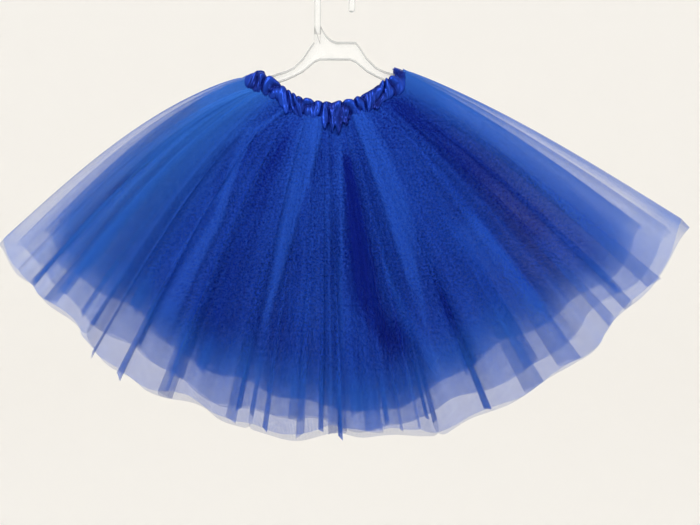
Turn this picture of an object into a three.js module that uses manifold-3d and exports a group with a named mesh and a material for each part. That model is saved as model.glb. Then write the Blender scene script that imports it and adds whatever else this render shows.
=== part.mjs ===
// Tulle tutu skirt on a clear plastic hanger.
// Three layers of gathered tulle hang from an elastic waistband in a satin casing.
// Millimetres, +Z up, +X along the spread skirt, the front of the skirt towards -Y.
// The origin is the inside of the hook's crown, where the hanger rests on its rail.
import * as THREE from "three";
import { mergeVertices } from "three/addons/utils/BufferGeometryUtils.js";
import Module from "manifold-3d";

const wasm = await Module();
wasm.setup();

// Driving sizes of the hanger
const hookRadius = 17; // inside of the crown
const hookWidth = 7.6;
const hookDepth = 6;
const hookTipDrop = 21; // straight end of the hook below the crown's centre
const neckTop = -54;
const rimDepth = 6.4;
const rimHeight = 1.8;
const webDepth = 2.4;

// Driving sizes of the skirt
const bandWidth = 25;
const bandThickness = 5.4;
const bandPuff = 1; // how far a gather of the casing stands out
const bandGathers = 15; // on each half
const bandTilt = 0.12; // how far the band's width turns forwards for each unit down
const topRipple = 1.1; // unevenness of the casing's top edge
const tulleThickness = 1;
const layerPitchAtBand = 1.7; // from one tulle layer to the next
const frontLayerPitchAtHem = 12;
const backLayerPitchAtHem = 8;
const bowPeak = 0.75; // below 1 the bow is widest above the middle of the net's length
const spreadStep = 0.04; // each layer's fan is narrower than the one over it by this share
const foldWidth = 0.09; // the share of a side over which the side fold turns
const frontPleats = 23;
const backPleats = 17;
const frontPleatDepth = 12; // half of a pleat's depth at the hem
const backPleatDepth = 6;
const pleatDepthAtBand = 0.35;
const pleatGrowth = 0.85; // power by which a pleat deepens from band to hem
const pleatShareAtFold = 0.3; // of a pleat's depth, on the two side lines
const backFoldShare = 0.35; // the broad folds of the back, against those of the front
const seamGap = 0.3;
const seatGap = 0.4;
const sideLineClearance = 0.05; // added to half the seam gap next to the side lines
const bandGap = 1.1; // from the casing to the tulle sewn under it
const bandGapAtTurn = 0.7; // added to it where the band turns over an arm
const gridStep = 0.004; // share of a side between the points that give a direction

// The hanger's arm from its middle outwards: the top and the lower edge
const armSections = [
  { x: 18, top: -73.4, low: -95.5 },
  { x: 25, top: -73.6, low: -98.5 },
  { x: 31, top: -81.5, low: -103.5 },
  { x: 38, top: -92.5, low: -109.5 },
  { x: 49, top: -103.5, low: -115.5 },
  { x: 58, top: -108, low: -119.5 },
  { x: 70, top: -111.5, low: -123.5 },
  { x: 84, top: -116.5, low: -128 },
  { x: 96, top: -123, low: -134 },
  { x: 105, top: -130, low: -139 },
];

// The waistband's middle line from the left turn to the right turn, seen from the front.
// flare is the angle of its width outwards from straight down, frontY and backY its depth.
// Both turns lie over the arms, so their height, null here, comes from the hanger.
const bandSections = [
  { at: 0.0, x: -95.5, z: null, frontY: 0, backY: 0, flare: -80 },
  { at: 0.02, x: -96, z: -114.5, frontY: -6.5, backY: 6.5, flare: -70 },
  { at: 0.05, x: -98, z: -120.5, frontY: -12.5, backY: 11, flare: -30 },
  { at: 0.13, x: -88.5, z: -125, frontY: -17, backY: 13, flare: -8 },
  { at: 0.21, x: -71, z: -133.5, frontY: -21, backY: 15, flare: -6 },
  { at: 0.28, x: -59, z: -143.5, frontY: -26, backY: 17, flare: -5 },
  { at: 0.38, x: -41, z: -155, frontY: -32, backY: 19, flare: -3 },
  { at: 0.48, x: -22, z: -160, frontY: -36, backY: 20, flare: 0 },
  { at: 0.58, x: -2, z: -161, frontY: -37, backY: 20, flare: 0 },
  { at: 0.67, x: 17, z: -159, frontY: -35, backY: 19, flare: 2 },
  { at: 0.76, x: 34.5, z: -151, frontY: -30, backY: 17, flare: 4 },
  { at: 0.84, x: 50, z: -140, frontY: -24, backY: 15, flare: 6 },
  { at: 0.91, x: 63, z: -132, frontY: -19, backY: 13, flare: 8 },
  { at: 0.95, x: 75, z: -124, frontY: -13, backY: 11, flare: 28 },
  { at: 0.98, x: 73, z: -109.5, frontY: -6.5, backY: 6.5, flare: 66 },
  { at: 1.0, x: 72, z: null, frontY: 0, backY: 0, flare: 80 },
];
const backDroop = 3; // the back of the band hangs lower than the front

// The fan of the tulle from its left side line to its right side line.
// spread is the angle from straight down, frontLean how far the front leans out,
// backLean the same for the back, and length runs from the band to the outline.
// bow is how far the net springs sideways from a straight line, to the left below 0.
const fanSections = [
  { at: 0.0, spread: -56, frontLean: 0, backLean: 0, length: 354, bow: -21.5 },
  { at: 0.02, spread: -54.5, frontLean: 2, backLean: 2, length: 353, bow: -21.5 },
  { at: 0.06, spread: -50.5, frontLean: 4, backLean: 2.5, length: 355, bow: -21 },
  { at: 0.13, spread: -44, frontLean: 5.5, backLean: 2.5, length: 361, bow: -19 },
  { at: 0.25, spread: -31, frontLean: 9.5, backLean: 2.5, length: 373, bow: -13 },
  { at: 0.38, spread: -17, frontLean: 12.5, backLean: 2, length: 372, bow: -6 },
  { at: 0.5, spread: -3.5, frontLean: 13.5, backLean: 2, length: 377, bow: -1 },
  { at: 0.62, spread: 9, frontLean: 13, backLean: 2, length: 378, bow: 2 },
  { at: 0.75, spread: 24.5, frontLean: 10.5, backLean: 2.5, length: 391, bow: 5 },
  { at: 0.87, spread: 41, frontLean: 6.5, backLean: 2.5, length: 386, bow: 8 },
  { at: 0.94, spread: 50.5, frontLean: 4, backLean: 2.5, length: 384, bow: 9.5 },
  { at: 0.98, spread: 58.5, frontLean: 2, backLean: 2, length: 389, bow: 10 },
  { at: 1.0, spread: 61.5, frontLean: 0, backLean: 0, length: 392, bow: 10 },
];

// How much shorter than the outline each layer of tulle ends
const layers = [
  { name: "outer", front: 14, back: 0 },
  { name: "middle", front: 30, back: 22 },
  { name: "inner", front: 54, back: 50 },
];

// Broad folds that all the layers of a side share: rise is their height at the hem
const broadFolds = [
  { at: 0.08, width: 0.035, rise: 7 },
  { at: 0.21, width: 0.04, rise: -9 },
  { at: 0.36, width: 0.05, rise: 12 },
  { at: 0.46, width: 0.035, rise: -8 },
  { at: 0.57, width: 0.045, rise: 11 },
  { at: 0.69, width: 0.04, rise: -10 },
  { at: 0.79, width: 0.04, rise: 9 },
  { at: 0.9, width: 0.035, rise: -7 },
];

// Where the inner layers end further up, or lower below 0: the inner one by the whole rise,
// the middle one by half
const hemRises = [
  { at: 0.25, width: 0.1, rise: 20 },
  { at: 0.61, width: 0.055, rise: -22 },
  { at: 0.76, width: 0.07, rise: 26 },
  { at: 0.9, width: 0.05, rise: 8 },
];

// Single pleats of the front outer layer that end in a long point below its hem
const longPleats = [
  { at: 0.21, drop: 6 },
  { at: 0.257, drop: 8 },
  { at: 0.51, drop: 3 },
  { at: 0.556, drop: 12 },
  { at: 0.742, drop: 4 },
  { at: 0.95, drop: 4 },
];

const satin = new THREE.MeshStandardMaterial({ color: 0x1a33b8, roughness: 0.3, metalness: 0 });
const tulle = new THREE.MeshStandardMaterial({ color: 0x1a3a9e, roughness: 0.7, metalness: 0 });
const clearPlastic = new THREE.MeshStandardMaterial({
  color: 0xeef2ee,
  roughness: 0.12,
  metalness: 0,
});

const radians = THREE.MathUtils.degToRad;
const vector = (x, y, z) => new THREE.Vector3(x, y, z);

// A table's column at a place between its rows, on a smooth curve through them
function along(table, column, at) {
  let row = 0;
  while (row < table.length - 2 && at > table[row + 1].at) row += 1;
  const slopeAt = (i) => {
    const before = table[Math.max(i - 1, 0)];
    const after = table[Math.min(i + 1, table.length - 1)];
    return (after[column] - before[column]) / (after.at - before.at);
  };
  const a = table[row];
  const b = table[row + 1];
  const span = b.at - a.at;
  const s = THREE.MathUtils.clamp((at - a.at) / span, 0, 1);
  const h = s * s * (3 - 2 * s);
  const rise = span * s * (1 - s) * ((1 - s) * slopeAt(row) - s * slopeAt(row + 1));
  return a[column] + (b[column] - a[column]) * h + rise;
}

// The height of an arm's top edge at a distance from the middle of the hanger
function armTop(x) {
  const last = armSections.length - 1;
  let row = 0;
  while (row < last - 1 && x > armSections[row + 1].x) row += 1;
  const a = armSections[row];
  const b = armSections[row + 1];
  return a.top + ((b.top - a.top) * (x - a.x)) / (b.x - a.x);
}

// A closed wall between an outer and an inner net of points, each net[column][row]
function wallGeometry(outer, inner) {
  const columns = outer.length;
  const rows = outer[0].length;
  const positions = [];
  for (const net of [outer, inner]) {
    for (const column of net) {
      for (const point of column) positions.push(point.x, point.y, point.z);
    }
  }
  const index = [];
  const place = (side, i, j) => (side * columns + i) * rows + j;
  const quad = (a, b, c, d) => index.push(a, b, c, a, c, d);
  for (let i = 0; i < columns - 1; i += 1) {
    for (let j = 0; j < rows - 1; j += 1) {
      quad(place(0, i, j), place(0, i, j + 1), place(0, i + 1, j + 1), place(0, i + 1, j));
      quad(place(1, i, j), place(1, i + 1, j), place(1, i + 1, j + 1), place(1, i, j + 1));
    }
    quad(place(0, i, 0), place(0, i + 1, 0), place(1, i + 1, 0), place(1, i, 0));
    const hem = rows - 1;
    quad(place(0, i, hem), place(1, i, hem), place(1, i + 1, hem), place(0, i + 1, hem));
  }
  for (let j = 0; j < rows - 1; j += 1) {
    const end = columns - 1;
    quad(place(0, 0, j), place(1, 0, j), place(1, 0, j + 1), place(0, 0, j + 1));
    quad(place(0, end, j), place(0, end, j + 1), place(1, end, j + 1), place(1, end, j));
  }
  const geometry = new THREE.BufferGeometry();
  geometry.setAttribute("position", new THREE.Float32BufferAttribute(positions, 3));
  geometry.setIndex(index);
  return geometry;
}

// Turns a closed geometry round where its faces point inwards
function facingOut(geometry) {
  const position = geometry.getAttribute("position");
  const index = geometry.getIndex();
  const a = vector(0, 0, 0);
  const b = vector(0, 0, 0);
  const c = vector(0, 0, 0);
  let volume = 0;
  for (let i = 0; i < index.count; i += 3) {
    a.fromBufferAttribute(position, index.getX(i));
    b.fromBufferAttribute(position, index.getX(i + 1));
    c.fromBufferAttribute(position, index.getX(i + 2));
    volume += a.dot(b.cross(c));
  }
  if (volume < 0) {
    for (let i = 0; i < index.count; i += 3) {
      const kept = index.getX(i);
      index.setX(i, index.getX(i + 1));
      index.setX(i + 1, kept);
    }
  }
  geometry.computeVertexNormals();
  return geometry;
}

// The waistband's middle, its width direction and its outward direction at a place.
// side is 1 on the front and -1 on the back.
const turnPlace = bandWidth * 0.3; // from the band's middle inwards to where it bears
const turnSink = 0.4; // the casing is thinner than the band's thickness where it bears
const turnSeat = seatGap + bandThickness / 2 - turnSink;
const bandRows = bandSections.map((row) => ({
  ...row,
  z: row.z ?? armTop(Math.abs(row.x) - turnPlace) + turnSeat,
}));

function bandMiddle(at, side) {
  const depth = along(bandRows, side > 0 ? "frontY" : "backY", at);
  const droop = side > 0 ? 0 : backDroop * Math.sin(Math.PI * at);
  return vector(along(bandRows, "x", at), depth, along(bandRows, "z", at) - droop);
}

function bandFrame(at, side) {
  const before = bandMiddle(Math.max(at - gridStep, 0), side);
  const after = bandMiddle(Math.min(at + gridStep, 1), side);
  const run = after.sub(before);
  if (at <= 0 || at >= 1) run.set(0, at <= 0 ? -side : side, 0);
  run.normalize();
  const flare = radians(along(bandRows, "flare", at));
  const down = vector(Math.sin(flare), -side * bandTilt * Math.cos(flare), -Math.cos(flare));
  down.normalize();
  const out = down.clone().cross(run).multiplyScalar(side).normalize();
  return { middle: bandMiddle(at, side), down, out };
}

// Places of the columns across a side: four to a pleat, with pleats of uneven width
function pleatColumns(pleats, seed) {
  const widths = [];
  for (let i = 0; i < pleats; i += 1) {
    widths.push(1 + 0.3 * Math.sin(i * 2.4 + seed) + 0.2 * Math.sin(i * 5.1 + seed * 2));
  }
  const whole = widths.reduce((sum, width) => sum + width, 0);
  const columns = [];
  let start = 0;
  widths.forEach((width, i) => {
    for (let quarter = 0; quarter < 4; quarter += 1) {
      const wave = [0, 1, 0, -1][quarter] * (1 + 0.25 * Math.sin(i * 1.7 + seed));
      columns.push({ at: (start + (width * quarter) / 4) / whole, wave });
    }
    start += width;
  });
  columns.push({ at: 1, wave: 0 });
  return columns;
}

// The casing's section: width from the seam to the top edge, depth from inside to outside
const casingSection = [
  { width: -0.5, depth: 0.4, puff: 0 },
  { width: -0.42, depth: 0.46, puff: 0.4 },
  { width: 0, depth: 0.5, puff: 1 },
  { width: 0.42, depth: 0.4, puff: 0.9 },
  { width: 0.5, depth: 0, puff: 0 },
  { width: 0.42, depth: -0.4, puff: 0 },
  { width: 0, depth: -0.45, puff: 0 },
  { width: -0.42, depth: -0.42, puff: 0 },
  { width: -0.5, depth: -0.4, puff: 0 },
];

// Keeps a point on its own side of the Y = 0 plane, or on the side line's cut
function onOwnSide(y, at, side, clearance) {
  if (at <= 0 || at >= 1) return (-side * seamGap) / 2;
  return -side * Math.max(-side * y, clearance);
}

function casingGeometry(side) {
  const columns = pleatColumns(bandGathers, side > 0 ? 0.6 : 1.9);
  const corners = casingSection.length;
  const positions = [];
  columns.forEach(({ at, wave }, i) => {
    const { middle, down, out } = bandFrame(at, side);
    const ripple = topRipple * Math.sin(i * 2.2 + side);
    for (const corner of casingSection) {
      const top = corner.width > 0.45 ? ripple : 0;
      const point = middle.clone();
      point.addScaledVector(down, -corner.width * bandWidth - top);
      point.addScaledVector(out, corner.depth * bandThickness + corner.puff * bandPuff * wave);
      point.y = onOwnSide(point.y, at, side, seamGap / 2 + sideLineClearance);
      positions.push(point.x, point.y, point.z);
    }
  });
  const index = [];
  for (let i = 0; i < columns.length - 1; i += 1) {
    for (let j = 0; j < corners; j += 1) {
      const next = (j + 1) % corners;
      const a = i * corners + j;
      const b = i * corners + next;
      index.push(a, b, b + corners, a, b + corners, a + corners);
    }
  }
  const end = (columns.length - 1) * corners;
  for (let j = 1; j < corners - 1; j += 1) {
    index.push(0, j + 1, j, end, end + j, end + j + 1);
  }
  const geometry = new THREE.BufferGeometry();
  geometry.setAttribute("position", new THREE.Float32BufferAttribute(positions, 3));
  geometry.setIndex(index);
  return facingOut(geometry);
}

// 0 at the two side lines and 1 past the side folds
function pastFold(at) {
  return THREE.MathUtils.smoothstep(Math.min(at, 1 - at), 0, foldWidth);
}

// Where the middle layer of tulle starts, below the waistband
function seamPoint(at, side) {
  const { middle, down } = bandFrame(at, side);
  const clearOfBand = bandGap + bandGapAtTurn * (1 - pastFold(at));
  return middle.addScaledVector(down, bandWidth / 2 + clearOfBand);
}

// A point of a layer's smooth fan, before pleats, at a distance from the waistband
function fanPoint(at, distance, side, layer) {
  const pitchAtHem = side > 0 ? frontLayerPitchAtHem : backLayerPitchAtHem;
  const inwards = Math.asin((layer * pitchAtHem) / along(fanSections, "length", at));
  const narrower = layer * spreadStep * (1 - pastFold(at));
  const spread = radians(along(fanSections, "spread", at)) * (1 - narrower);
  const lean = radians(along(fanSections, side > 0 ? "frontLean" : "backLean", at));
  const tilt = lean - inwards * pastFold(at);
  const run = vector(
    Math.sin(spread) * Math.cos(tilt),
    -Math.sin(tilt) * side,
    -Math.cos(spread) * Math.cos(tilt),
  );
  const across = seamPoint(Math.min(at + gridStep, 1), side);
  across.sub(seamPoint(Math.max(at - gridStep, 0), side));
  if (at <= 0 || at >= 1) across.set(0, at <= 0 ? -side : side, 0);
  const out = run.clone().cross(across).multiplyScalar(side).normalize();
  const point = seamPoint(at, side).addScaledVector(out, (1 - layer) * layerPitchAtBand);
  const reach = THREE.MathUtils.clamp(distance / along(fanSections, "length", at), 0, 1);
  const bow = along(fanSections, "bow", at) * Math.sin(Math.PI * reach ** bowPeak);
  point.addScaledVector(vector(Math.cos(spread), 0, Math.sin(spread)), bow);
  return point.addScaledVector(run, distance);
}

// The outward direction of the outer layer's smooth fan, which the pleats of all layers follow.
// At both sides it turns into the side line's plane.
function fanOut(at, distance, side) {
  const stepAcross = 0.01;
  const stepDown = 15;
  const left = fanPoint(Math.max(at - stepAcross, 0), distance, side, 0);
  const right = fanPoint(Math.min(at + stepAcross, 1), distance, side, 0);
  const above = fanPoint(at, distance, side, 0);
  const below = fanPoint(at, distance + stepDown, side, 0);
  const out = below.sub(above).cross(right.sub(left)).multiplyScalar(side).normalize();
  out.y *= pastFold(at);
  return out.normalize();
}

// Rows of a tulle wall from the band to the hem, as shares of its length
const rowShares = [0, 0.07, 0.22, 0.46, 0.73, 1];

// How far the hem of a layer ends above or below an even arc
function hemUnevenness(at, layer) {
  let rise = 0;
  for (const row of hemRises) rise += row.rise * Math.exp(-(((at - row.at) / row.width) ** 2));
  return 4 * Math.sin(at * 31 + layer * 2.1) + 3 * Math.sin(at * 67 + layer) - (rise * layer) / 2;
}

// The extra length of the long pleats, on the column that lies nearest to each
function longPleatDrop(columns, at) {
  let drop = 0;
  for (const pleat of longPleats) {
    const nearest = columns.reduce((best, column) =>
      Math.abs(column.at - pleat.at) < Math.abs(best.at - pleat.at) ? column : best,
    );
    if (nearest.at === at) drop += pleat.drop;
  }
  return drop;
}

function broadRise(at, side) {
  let rise = 0;
  for (const fold of broadFolds) {
    rise += fold.rise * Math.exp(-(((at - fold.at) / fold.width) ** 2));
  }
  return side > 0 ? rise : rise * backFoldShare;
}

function tulleGeometry(layer, side) {
  const columns = pleatColumns(side > 0 ? frontPleats : backPleats, side > 0 ? 0.9 : 2.3);
  const depthAtHem = side > 0 ? frontPleatDepth : backPleatDepth;
  const shorter = side > 0 ? layers[layer].front : layers[layer].back;
  const clearOfSideLine = (seamGap + tulleThickness) / 2 + sideLineClearance;
  const surface = columns.map(({ at, wave }) => {
    const fullLength = along(fanSections, "length", at);
    const drop = layer === 0 && side > 0 ? longPleatDrop(columns, at) : 0;
    const length = fullLength - shorter + hemUnevenness(at, layer) + drop;
    const pleatShare = pleatShareAtFold + (1 - pleatShareAtFold) * pastFold(at);
    return rowShares.map((share) => {
      const distance = share * length;
      const reach = distance / fullLength;
      const depth = pleatDepthAtBand + (depthAtHem - pleatDepthAtBand) * reach ** pleatGrowth;
      const lift = depth * wave * pleatShare + broadRise(at, side) * reach * pastFold(at);
      const point = fanPoint(at, distance, side, layer);
      point.addScaledVector(fanOut(at, distance, side), lift);
      point.y = onOwnSide(point.y, at, side, clearOfSideLine);
      return point;
    });
  });
  return wallAround(surface, side);
}

// Gives a net of points the cloth's thickness, with the side edges cut square to Y
function wallAround(surface, side) {
  const lastColumn = surface.length - 1;
  const lastRow = surface[0].length - 1;
  const outer = [];
  const inner = [];
  surface.forEach((column, i) => {
    const outerColumn = [];
    const innerColumn = [];
    column.forEach((point, j) => {
      const before = surface[Math.max(i - 1, 0)][j];
      const after = surface[Math.min(i + 1, lastColumn)][j];
      const above = surface[i][Math.max(j - 1, 0)];
      const below = surface[i][Math.min(j + 1, lastRow)];
      const across = after.clone().sub(before);
      const downwards = below.clone().sub(above);
      const out = downwards.cross(across).multiplyScalar(side);
      if (i === 0 || i === lastColumn) out.y = 0;
      out.normalize();
      outerColumn.push(point.clone().addScaledVector(out, tulleThickness / 2));
      innerColumn.push(point.clone().addScaledVector(out, -tulleThickness / 2));
    });
    outer.push(outerColumn);
    inner.push(innerColumn);
  });
  return facingOut(wallGeometry(outer, inner));
}

// The hanger's outline, half a side at a time, with the neck on the left below the hook
function hangerOutline() {
  const stemX = hookRadius + hookWidth / 2;
  const tipRound = 8;
  const tipDrop = 3;
  const shape = new THREE.Shape();
  const rightTop = armSections.slice(1);
  const tip = armSections[armSections.length - 1];
  shape.moveTo(-stemX - hookWidth / 2, neckTop);
  shape.lineTo(-stemX + hookWidth / 2, neckTop);
  shape.quadraticCurveTo(-stemX + hookWidth, armSections[0].top + 2, 3, armSections[0].top);
  for (const row of rightTop) shape.lineTo(row.x, row.top);
  shape.quadraticCurveTo(tip.x + tipRound, (tip.top + tip.low) / 2 - tipDrop, tip.x - 2, tip.low);
  for (const row of [...armSections].reverse().slice(1)) shape.lineTo(row.x, row.low);
  for (const row of armSections.slice(0, -1)) shape.lineTo(-row.x, row.low);
  shape.lineTo(-tip.x + 2, tip.low);
  shape.quadraticCurveTo(-tip.x - tipRound, (tip.top + tip.low) / 2 - tipDrop, -tip.x, tip.top);
  for (const row of [...armSections].reverse().slice(1, -1)) shape.lineTo(-row.x, row.top);
  const points = shape.getPoints(4);
  return points.filter((point, i) => point.distanceTo(points[(i + 1) % points.length]) > 0.01);
}

// The same outline moved inwards by a distance
function inset(points, distance) {
  const turn = THREE.ShapeUtils.isClockWise(points) ? -1 : 1;
  return points.map((point, i) => {
    const before = points[(i + points.length - 1) % points.length];
    const after = points[(i + 1) % points.length];
    const a = point.clone().sub(before).normalize();
    const b = after.clone().sub(point).normalize();
    const normalA = new THREE.Vector2(-a.y, a.x);
    const normalB = new THREE.Vector2(-b.y, b.x);
    const middle = normalA.clone().add(normalB).normalize();
    const reach = distance / Math.max(middle.dot(normalA), 0.5);
    return point.clone().addScaledVector(middle, turn * reach);
  });
}

// An outline in X and Z pushed out to both sides of the Y = 0 plane
function plate(points, holes, depth) {
  const shape = new THREE.Shape(points);
  shape.holes = holes.map((hole) => new THREE.Path(hole));
  const geometry = new THREE.ExtrudeGeometry(shape, { depth, bevelEnabled: false });
  geometry.translate(0, 0, -depth / 2);
  geometry.rotateX(Math.PI / 2);
  return geometry;
}

// The hook's rod: up the stem, round the crown and down to the tip
function hookGeometry() {
  const rodRadius = hookRadius + hookWidth / 2;
  const centreZ = -hookRadius;
  const steps = 16;
  const points = [vector(-rodRadius, 0, neckTop - 2)];
  for (let i = 0; i <= steps; i += 1) {
    const turn = Math.PI * (1 - i / steps);
    points.push(vector(rodRadius * Math.cos(turn), 0, centreZ + rodRadius * Math.sin(turn)));
  }
  points.push(vector(rodRadius - 1, 0, centreZ - hookTipDrop));
  return rodGeometry(points);
}

// The hook's rounded end: how far each ring lies past the rod, and its share of the section
const tipRings = [
  { onwards: 1.8, size: 0.86 },
  { onwards: 3, size: 0.5 },
];

// A rod of rounded section along points in the Y = 0 plane, with a rounded last end
function rodGeometry(points) {
  const sides = 12;
  const positions = [];
  const run = (i) =>
    points[Math.min(i + 1, points.length - 1)].clone().sub(points[Math.max(i - 1, 0)]).normalize();
  const rings = points.map((centre, i) => ({ centre, run: run(i), size: 1 }));
  const last = rings[rings.length - 1];
  for (const { onwards, size } of tipRings) {
    rings.push({ centre: last.centre.clone().addScaledVector(last.run, onwards), run: last.run, size });
  }
  rings.forEach((ring) => {
    const across = vector(-ring.run.z, 0, ring.run.x);
    for (let k = 0; k < sides; k += 1) {
      const angle = (2 * Math.PI * k) / sides;
      const point = ring.centre.clone();
      point.addScaledVector(across, (ring.size * hookWidth * Math.cos(angle)) / 2);
      point.y += (ring.size * hookDepth * Math.sin(angle)) / 2;
      positions.push(point.x, point.y, point.z);
    }
  });
  const index = [];
  for (let i = 0; i < rings.length - 1; i += 1) {
    for (let k = 0; k < sides; k += 1) {
      const next = (k + 1) % sides;
      const a = i * sides + k;
      const b = i * sides + next;
      index.push(a, b, b + sides, a, b + sides, a + sides);
    }
  }
  const end = (rings.length - 1) * sides;
  for (let k = 1; k < sides - 1; k += 1) index.push(0, k + 1, k, end, end + k, end + k + 1);
  const geometry = new THREE.BufferGeometry();
  geometry.setAttribute("position", new THREE.Float32BufferAttribute(positions, 3));
  geometry.setIndex(index);
  return facingOut(geometry);
}

function solid(geometry) {
  const bare = geometry.index ? geometry.toNonIndexed() : geometry.clone();
  for (const name of Object.keys(bare.attributes)) {
    if (name !== "position") bare.deleteAttribute(name);
  }
  const merged = mergeVertices(bare, 1e-4);
  const mesh = new wasm.Mesh({
    numProp: 3,
    vertProperties: merged.attributes.position.array,
    triVerts: new Uint32Array(merged.index.array),
  });
  return new wasm.Manifold(mesh);
}

function geometryOf(manifold) {
  const mesh = manifold.getMesh();
  const positions = [];
  for (let i = 0; i < mesh.numVert; i += 1) {
    positions.push(...mesh.vertProperties.slice(i * mesh.numProp, i * mesh.numProp + 3));
  }
  const geometry = new THREE.BufferGeometry();
  geometry.setAttribute("position", new THREE.Float32BufferAttribute(positions, 3));
  geometry.setIndex([...mesh.triVerts]);
  geometry.computeVertexNormals();
  return geometry;
}

// The hanger is moulded in one piece: a thin web with a rim all round, and the hook
function hangerGeometry() {
  const outline = hangerOutline();
  const web = solid(plate(outline, [], webDepth));
  const rim = solid(plate(outline, [inset(outline, rimHeight).reverse()], rimDepth));
  return geometryOf(web.add(rim).add(solid(hookGeometry())));
}

const group = new THREE.Group();

function addPiece(name, geometry, material) {
  const mesh = new THREE.Mesh(geometry, material);
  mesh.name = name;
  group.add(mesh);
}

addPiece("hanger", hangerGeometry(), clearPlastic);
for (const side of [1, -1]) {
  const sideName = side > 0 ? "front" : "back";
  addPiece(`waistband_${sideName}`, casingGeometry(side), satin);
  layers.forEach(({ name }, layer) => {
    addPiece(`tulle_${name}_${sideName}`, tulleGeometry(layer, side), tulle);
  });
}

export default group;
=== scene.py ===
import math

import bmesh
import bpy
import numpy as np
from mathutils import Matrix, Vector


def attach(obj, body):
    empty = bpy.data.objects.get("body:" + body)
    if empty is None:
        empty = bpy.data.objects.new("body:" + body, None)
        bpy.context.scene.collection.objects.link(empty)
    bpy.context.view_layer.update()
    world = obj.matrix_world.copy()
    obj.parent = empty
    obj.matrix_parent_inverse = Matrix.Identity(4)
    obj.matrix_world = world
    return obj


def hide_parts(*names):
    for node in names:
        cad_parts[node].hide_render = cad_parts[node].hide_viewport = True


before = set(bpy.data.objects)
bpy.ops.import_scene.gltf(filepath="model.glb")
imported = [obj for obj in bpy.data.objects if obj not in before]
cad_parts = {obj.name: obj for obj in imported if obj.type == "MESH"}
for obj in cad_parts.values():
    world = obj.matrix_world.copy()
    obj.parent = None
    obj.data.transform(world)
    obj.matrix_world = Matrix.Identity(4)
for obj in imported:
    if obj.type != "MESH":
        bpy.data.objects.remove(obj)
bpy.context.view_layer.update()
scene = bpy.context.scene

mm = 0.001
front, back = 1, -1

cameraSet = {
    "place": (18, -1700, -338),
    "viewWidth": 840,  # at the hanger
    "sensor": 36,
}
studio = {
    "floorHeight": -2000,
    "floorRadius": 3000,
    "wallRadius": 4200,
    "wallTop": 2600,
    "wallSides": 96,
    "bendSteps": 12,
    "wallColour": (0.9, 0.885, 0.86, 1),
    "wallRoughness": 0.9,
    "skyColour": (1.0, 0.995, 0.98, 1),
    "skyStrength": 1.0,
    "keyPlace": (-900, -1900, 1500),
    "keySize": 1400,
    "keyPower": 45,
    "fillPlace": (1700, -1500, 300),
    "fillSize": 1600,
    "fillPower": 14,
    "aim": (0, 0, -330),
}


def makeCamera():
    data = bpy.data.cameras.new("camera")
    data.sensor_width = cameraSet["sensor"]
    data.lens = cameraSet["sensor"] * -cameraSet["place"][1] / cameraSet["viewWidth"]
    camera = bpy.data.objects.new("camera", data)
    camera.location = Vector(cameraSet["place"]) * mm
    camera.rotation_euler = (math.pi / 2, 0, 0)
    scene.collection.objects.link(camera)
    scene.camera = camera


print("camera")
makeCamera()


# Mesh helpers

def gridFaces(columns, rows):
    # Quads between neighbouring columns, and from the last column home to the first
    i = np.arange(columns)[:, None]
    j = np.arange(rows - 1)[None, :]
    n = (i + 1) % columns
    quads = np.stack([i * rows + j, i * rows + j + 1, n * rows + j + 1, n * rows + j], -1)
    return quads.reshape(-1, 4)


def meshObject(name, points, faces, material):
    mesh = bpy.data.meshes.new(name)
    mesh.from_pydata((np.asarray(points) * mm).tolist(), [], [list(f) for f in faces])
    mesh.validate()
    mesh.shade_smooth()
    mesh.materials.append(material)
    obj = bpy.data.objects.new(name, mesh)
    scene.collection.objects.link(obj)
    return obj


def pointValues(obj, name, values):
    layer = obj.data.attributes.new(name, "FLOAT", "POINT")
    layer.data.foreach_set("value", np.asarray(values, np.float32).ravel())


def clothMap(obj, across, along, roundTrip=None):
    # UVs in metres of flat cloth; roundTrip is the width at which a closed loop starts again
    layer = obj.data.uv_layers.new(name="clothMap")
    corner = np.zeros(len(obj.data.loops), np.int32)
    obj.data.loops.foreach_get("vertex_index", corner)
    u = across.ravel()[corner] * mm
    v = along.ravel()[corner] * mm
    if roundTrip:
        u = u.reshape(-1, 4)  # every face is a quad
        wraps = u.max(1) - u.min(1) > roundTrip * mm / 2
        u[wraps] = np.where(u[wraps] < roundTrip * mm / 2, u[wraps] + roundTrip * mm, u[wraps])
        u = u.ravel()
    layer.data.foreach_set("uv", np.stack([u, v], -1).astype(np.float32).ravel())


# Shader groups and materials

def nodeGroup(name, inputs, outputs):
    group = bpy.data.node_groups.new(name, "ShaderNodeTree")
    for label, kind, value in inputs:
        socket = group.interface.new_socket(label, in_out="INPUT", socket_type=kind)
        socket.default_value = value
    for label, kind in outputs:
        group.interface.new_socket(label, in_out="OUTPUT", socket_type=kind)
    return group, group.nodes.new("NodeGroupInput"), group.nodes.new("NodeGroupOutput")


def addNode(tree, kind, **values):
    node = tree.nodes.new(kind)
    for key, value in values.items():
        if hasattr(node, key):
            setattr(node, key, value)
        else:
            node.inputs[key.replace("_", " ")].default_value = value
    return node


def mathNode(tree, operation, a, b=None):
    node = tree.nodes.new("ShaderNodeMath")
    node.operation = operation
    for socket, value in zip(node.inputs, (a, b)):
        if value is None:
            continue
        if isinstance(value, (int, float)):
            socket.default_value = value
        else:
            tree.links.new(value, socket)
    return node.outputs[0]


def colourSockets(blend):
    # A Mix node has sockets of the same name for numbers and colours
    first, second = (socket for socket in blend.inputs if socket.type == "RGBA")
    return first, second, [socket for socket in blend.outputs if socket.type == "RGBA"][0]


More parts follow.
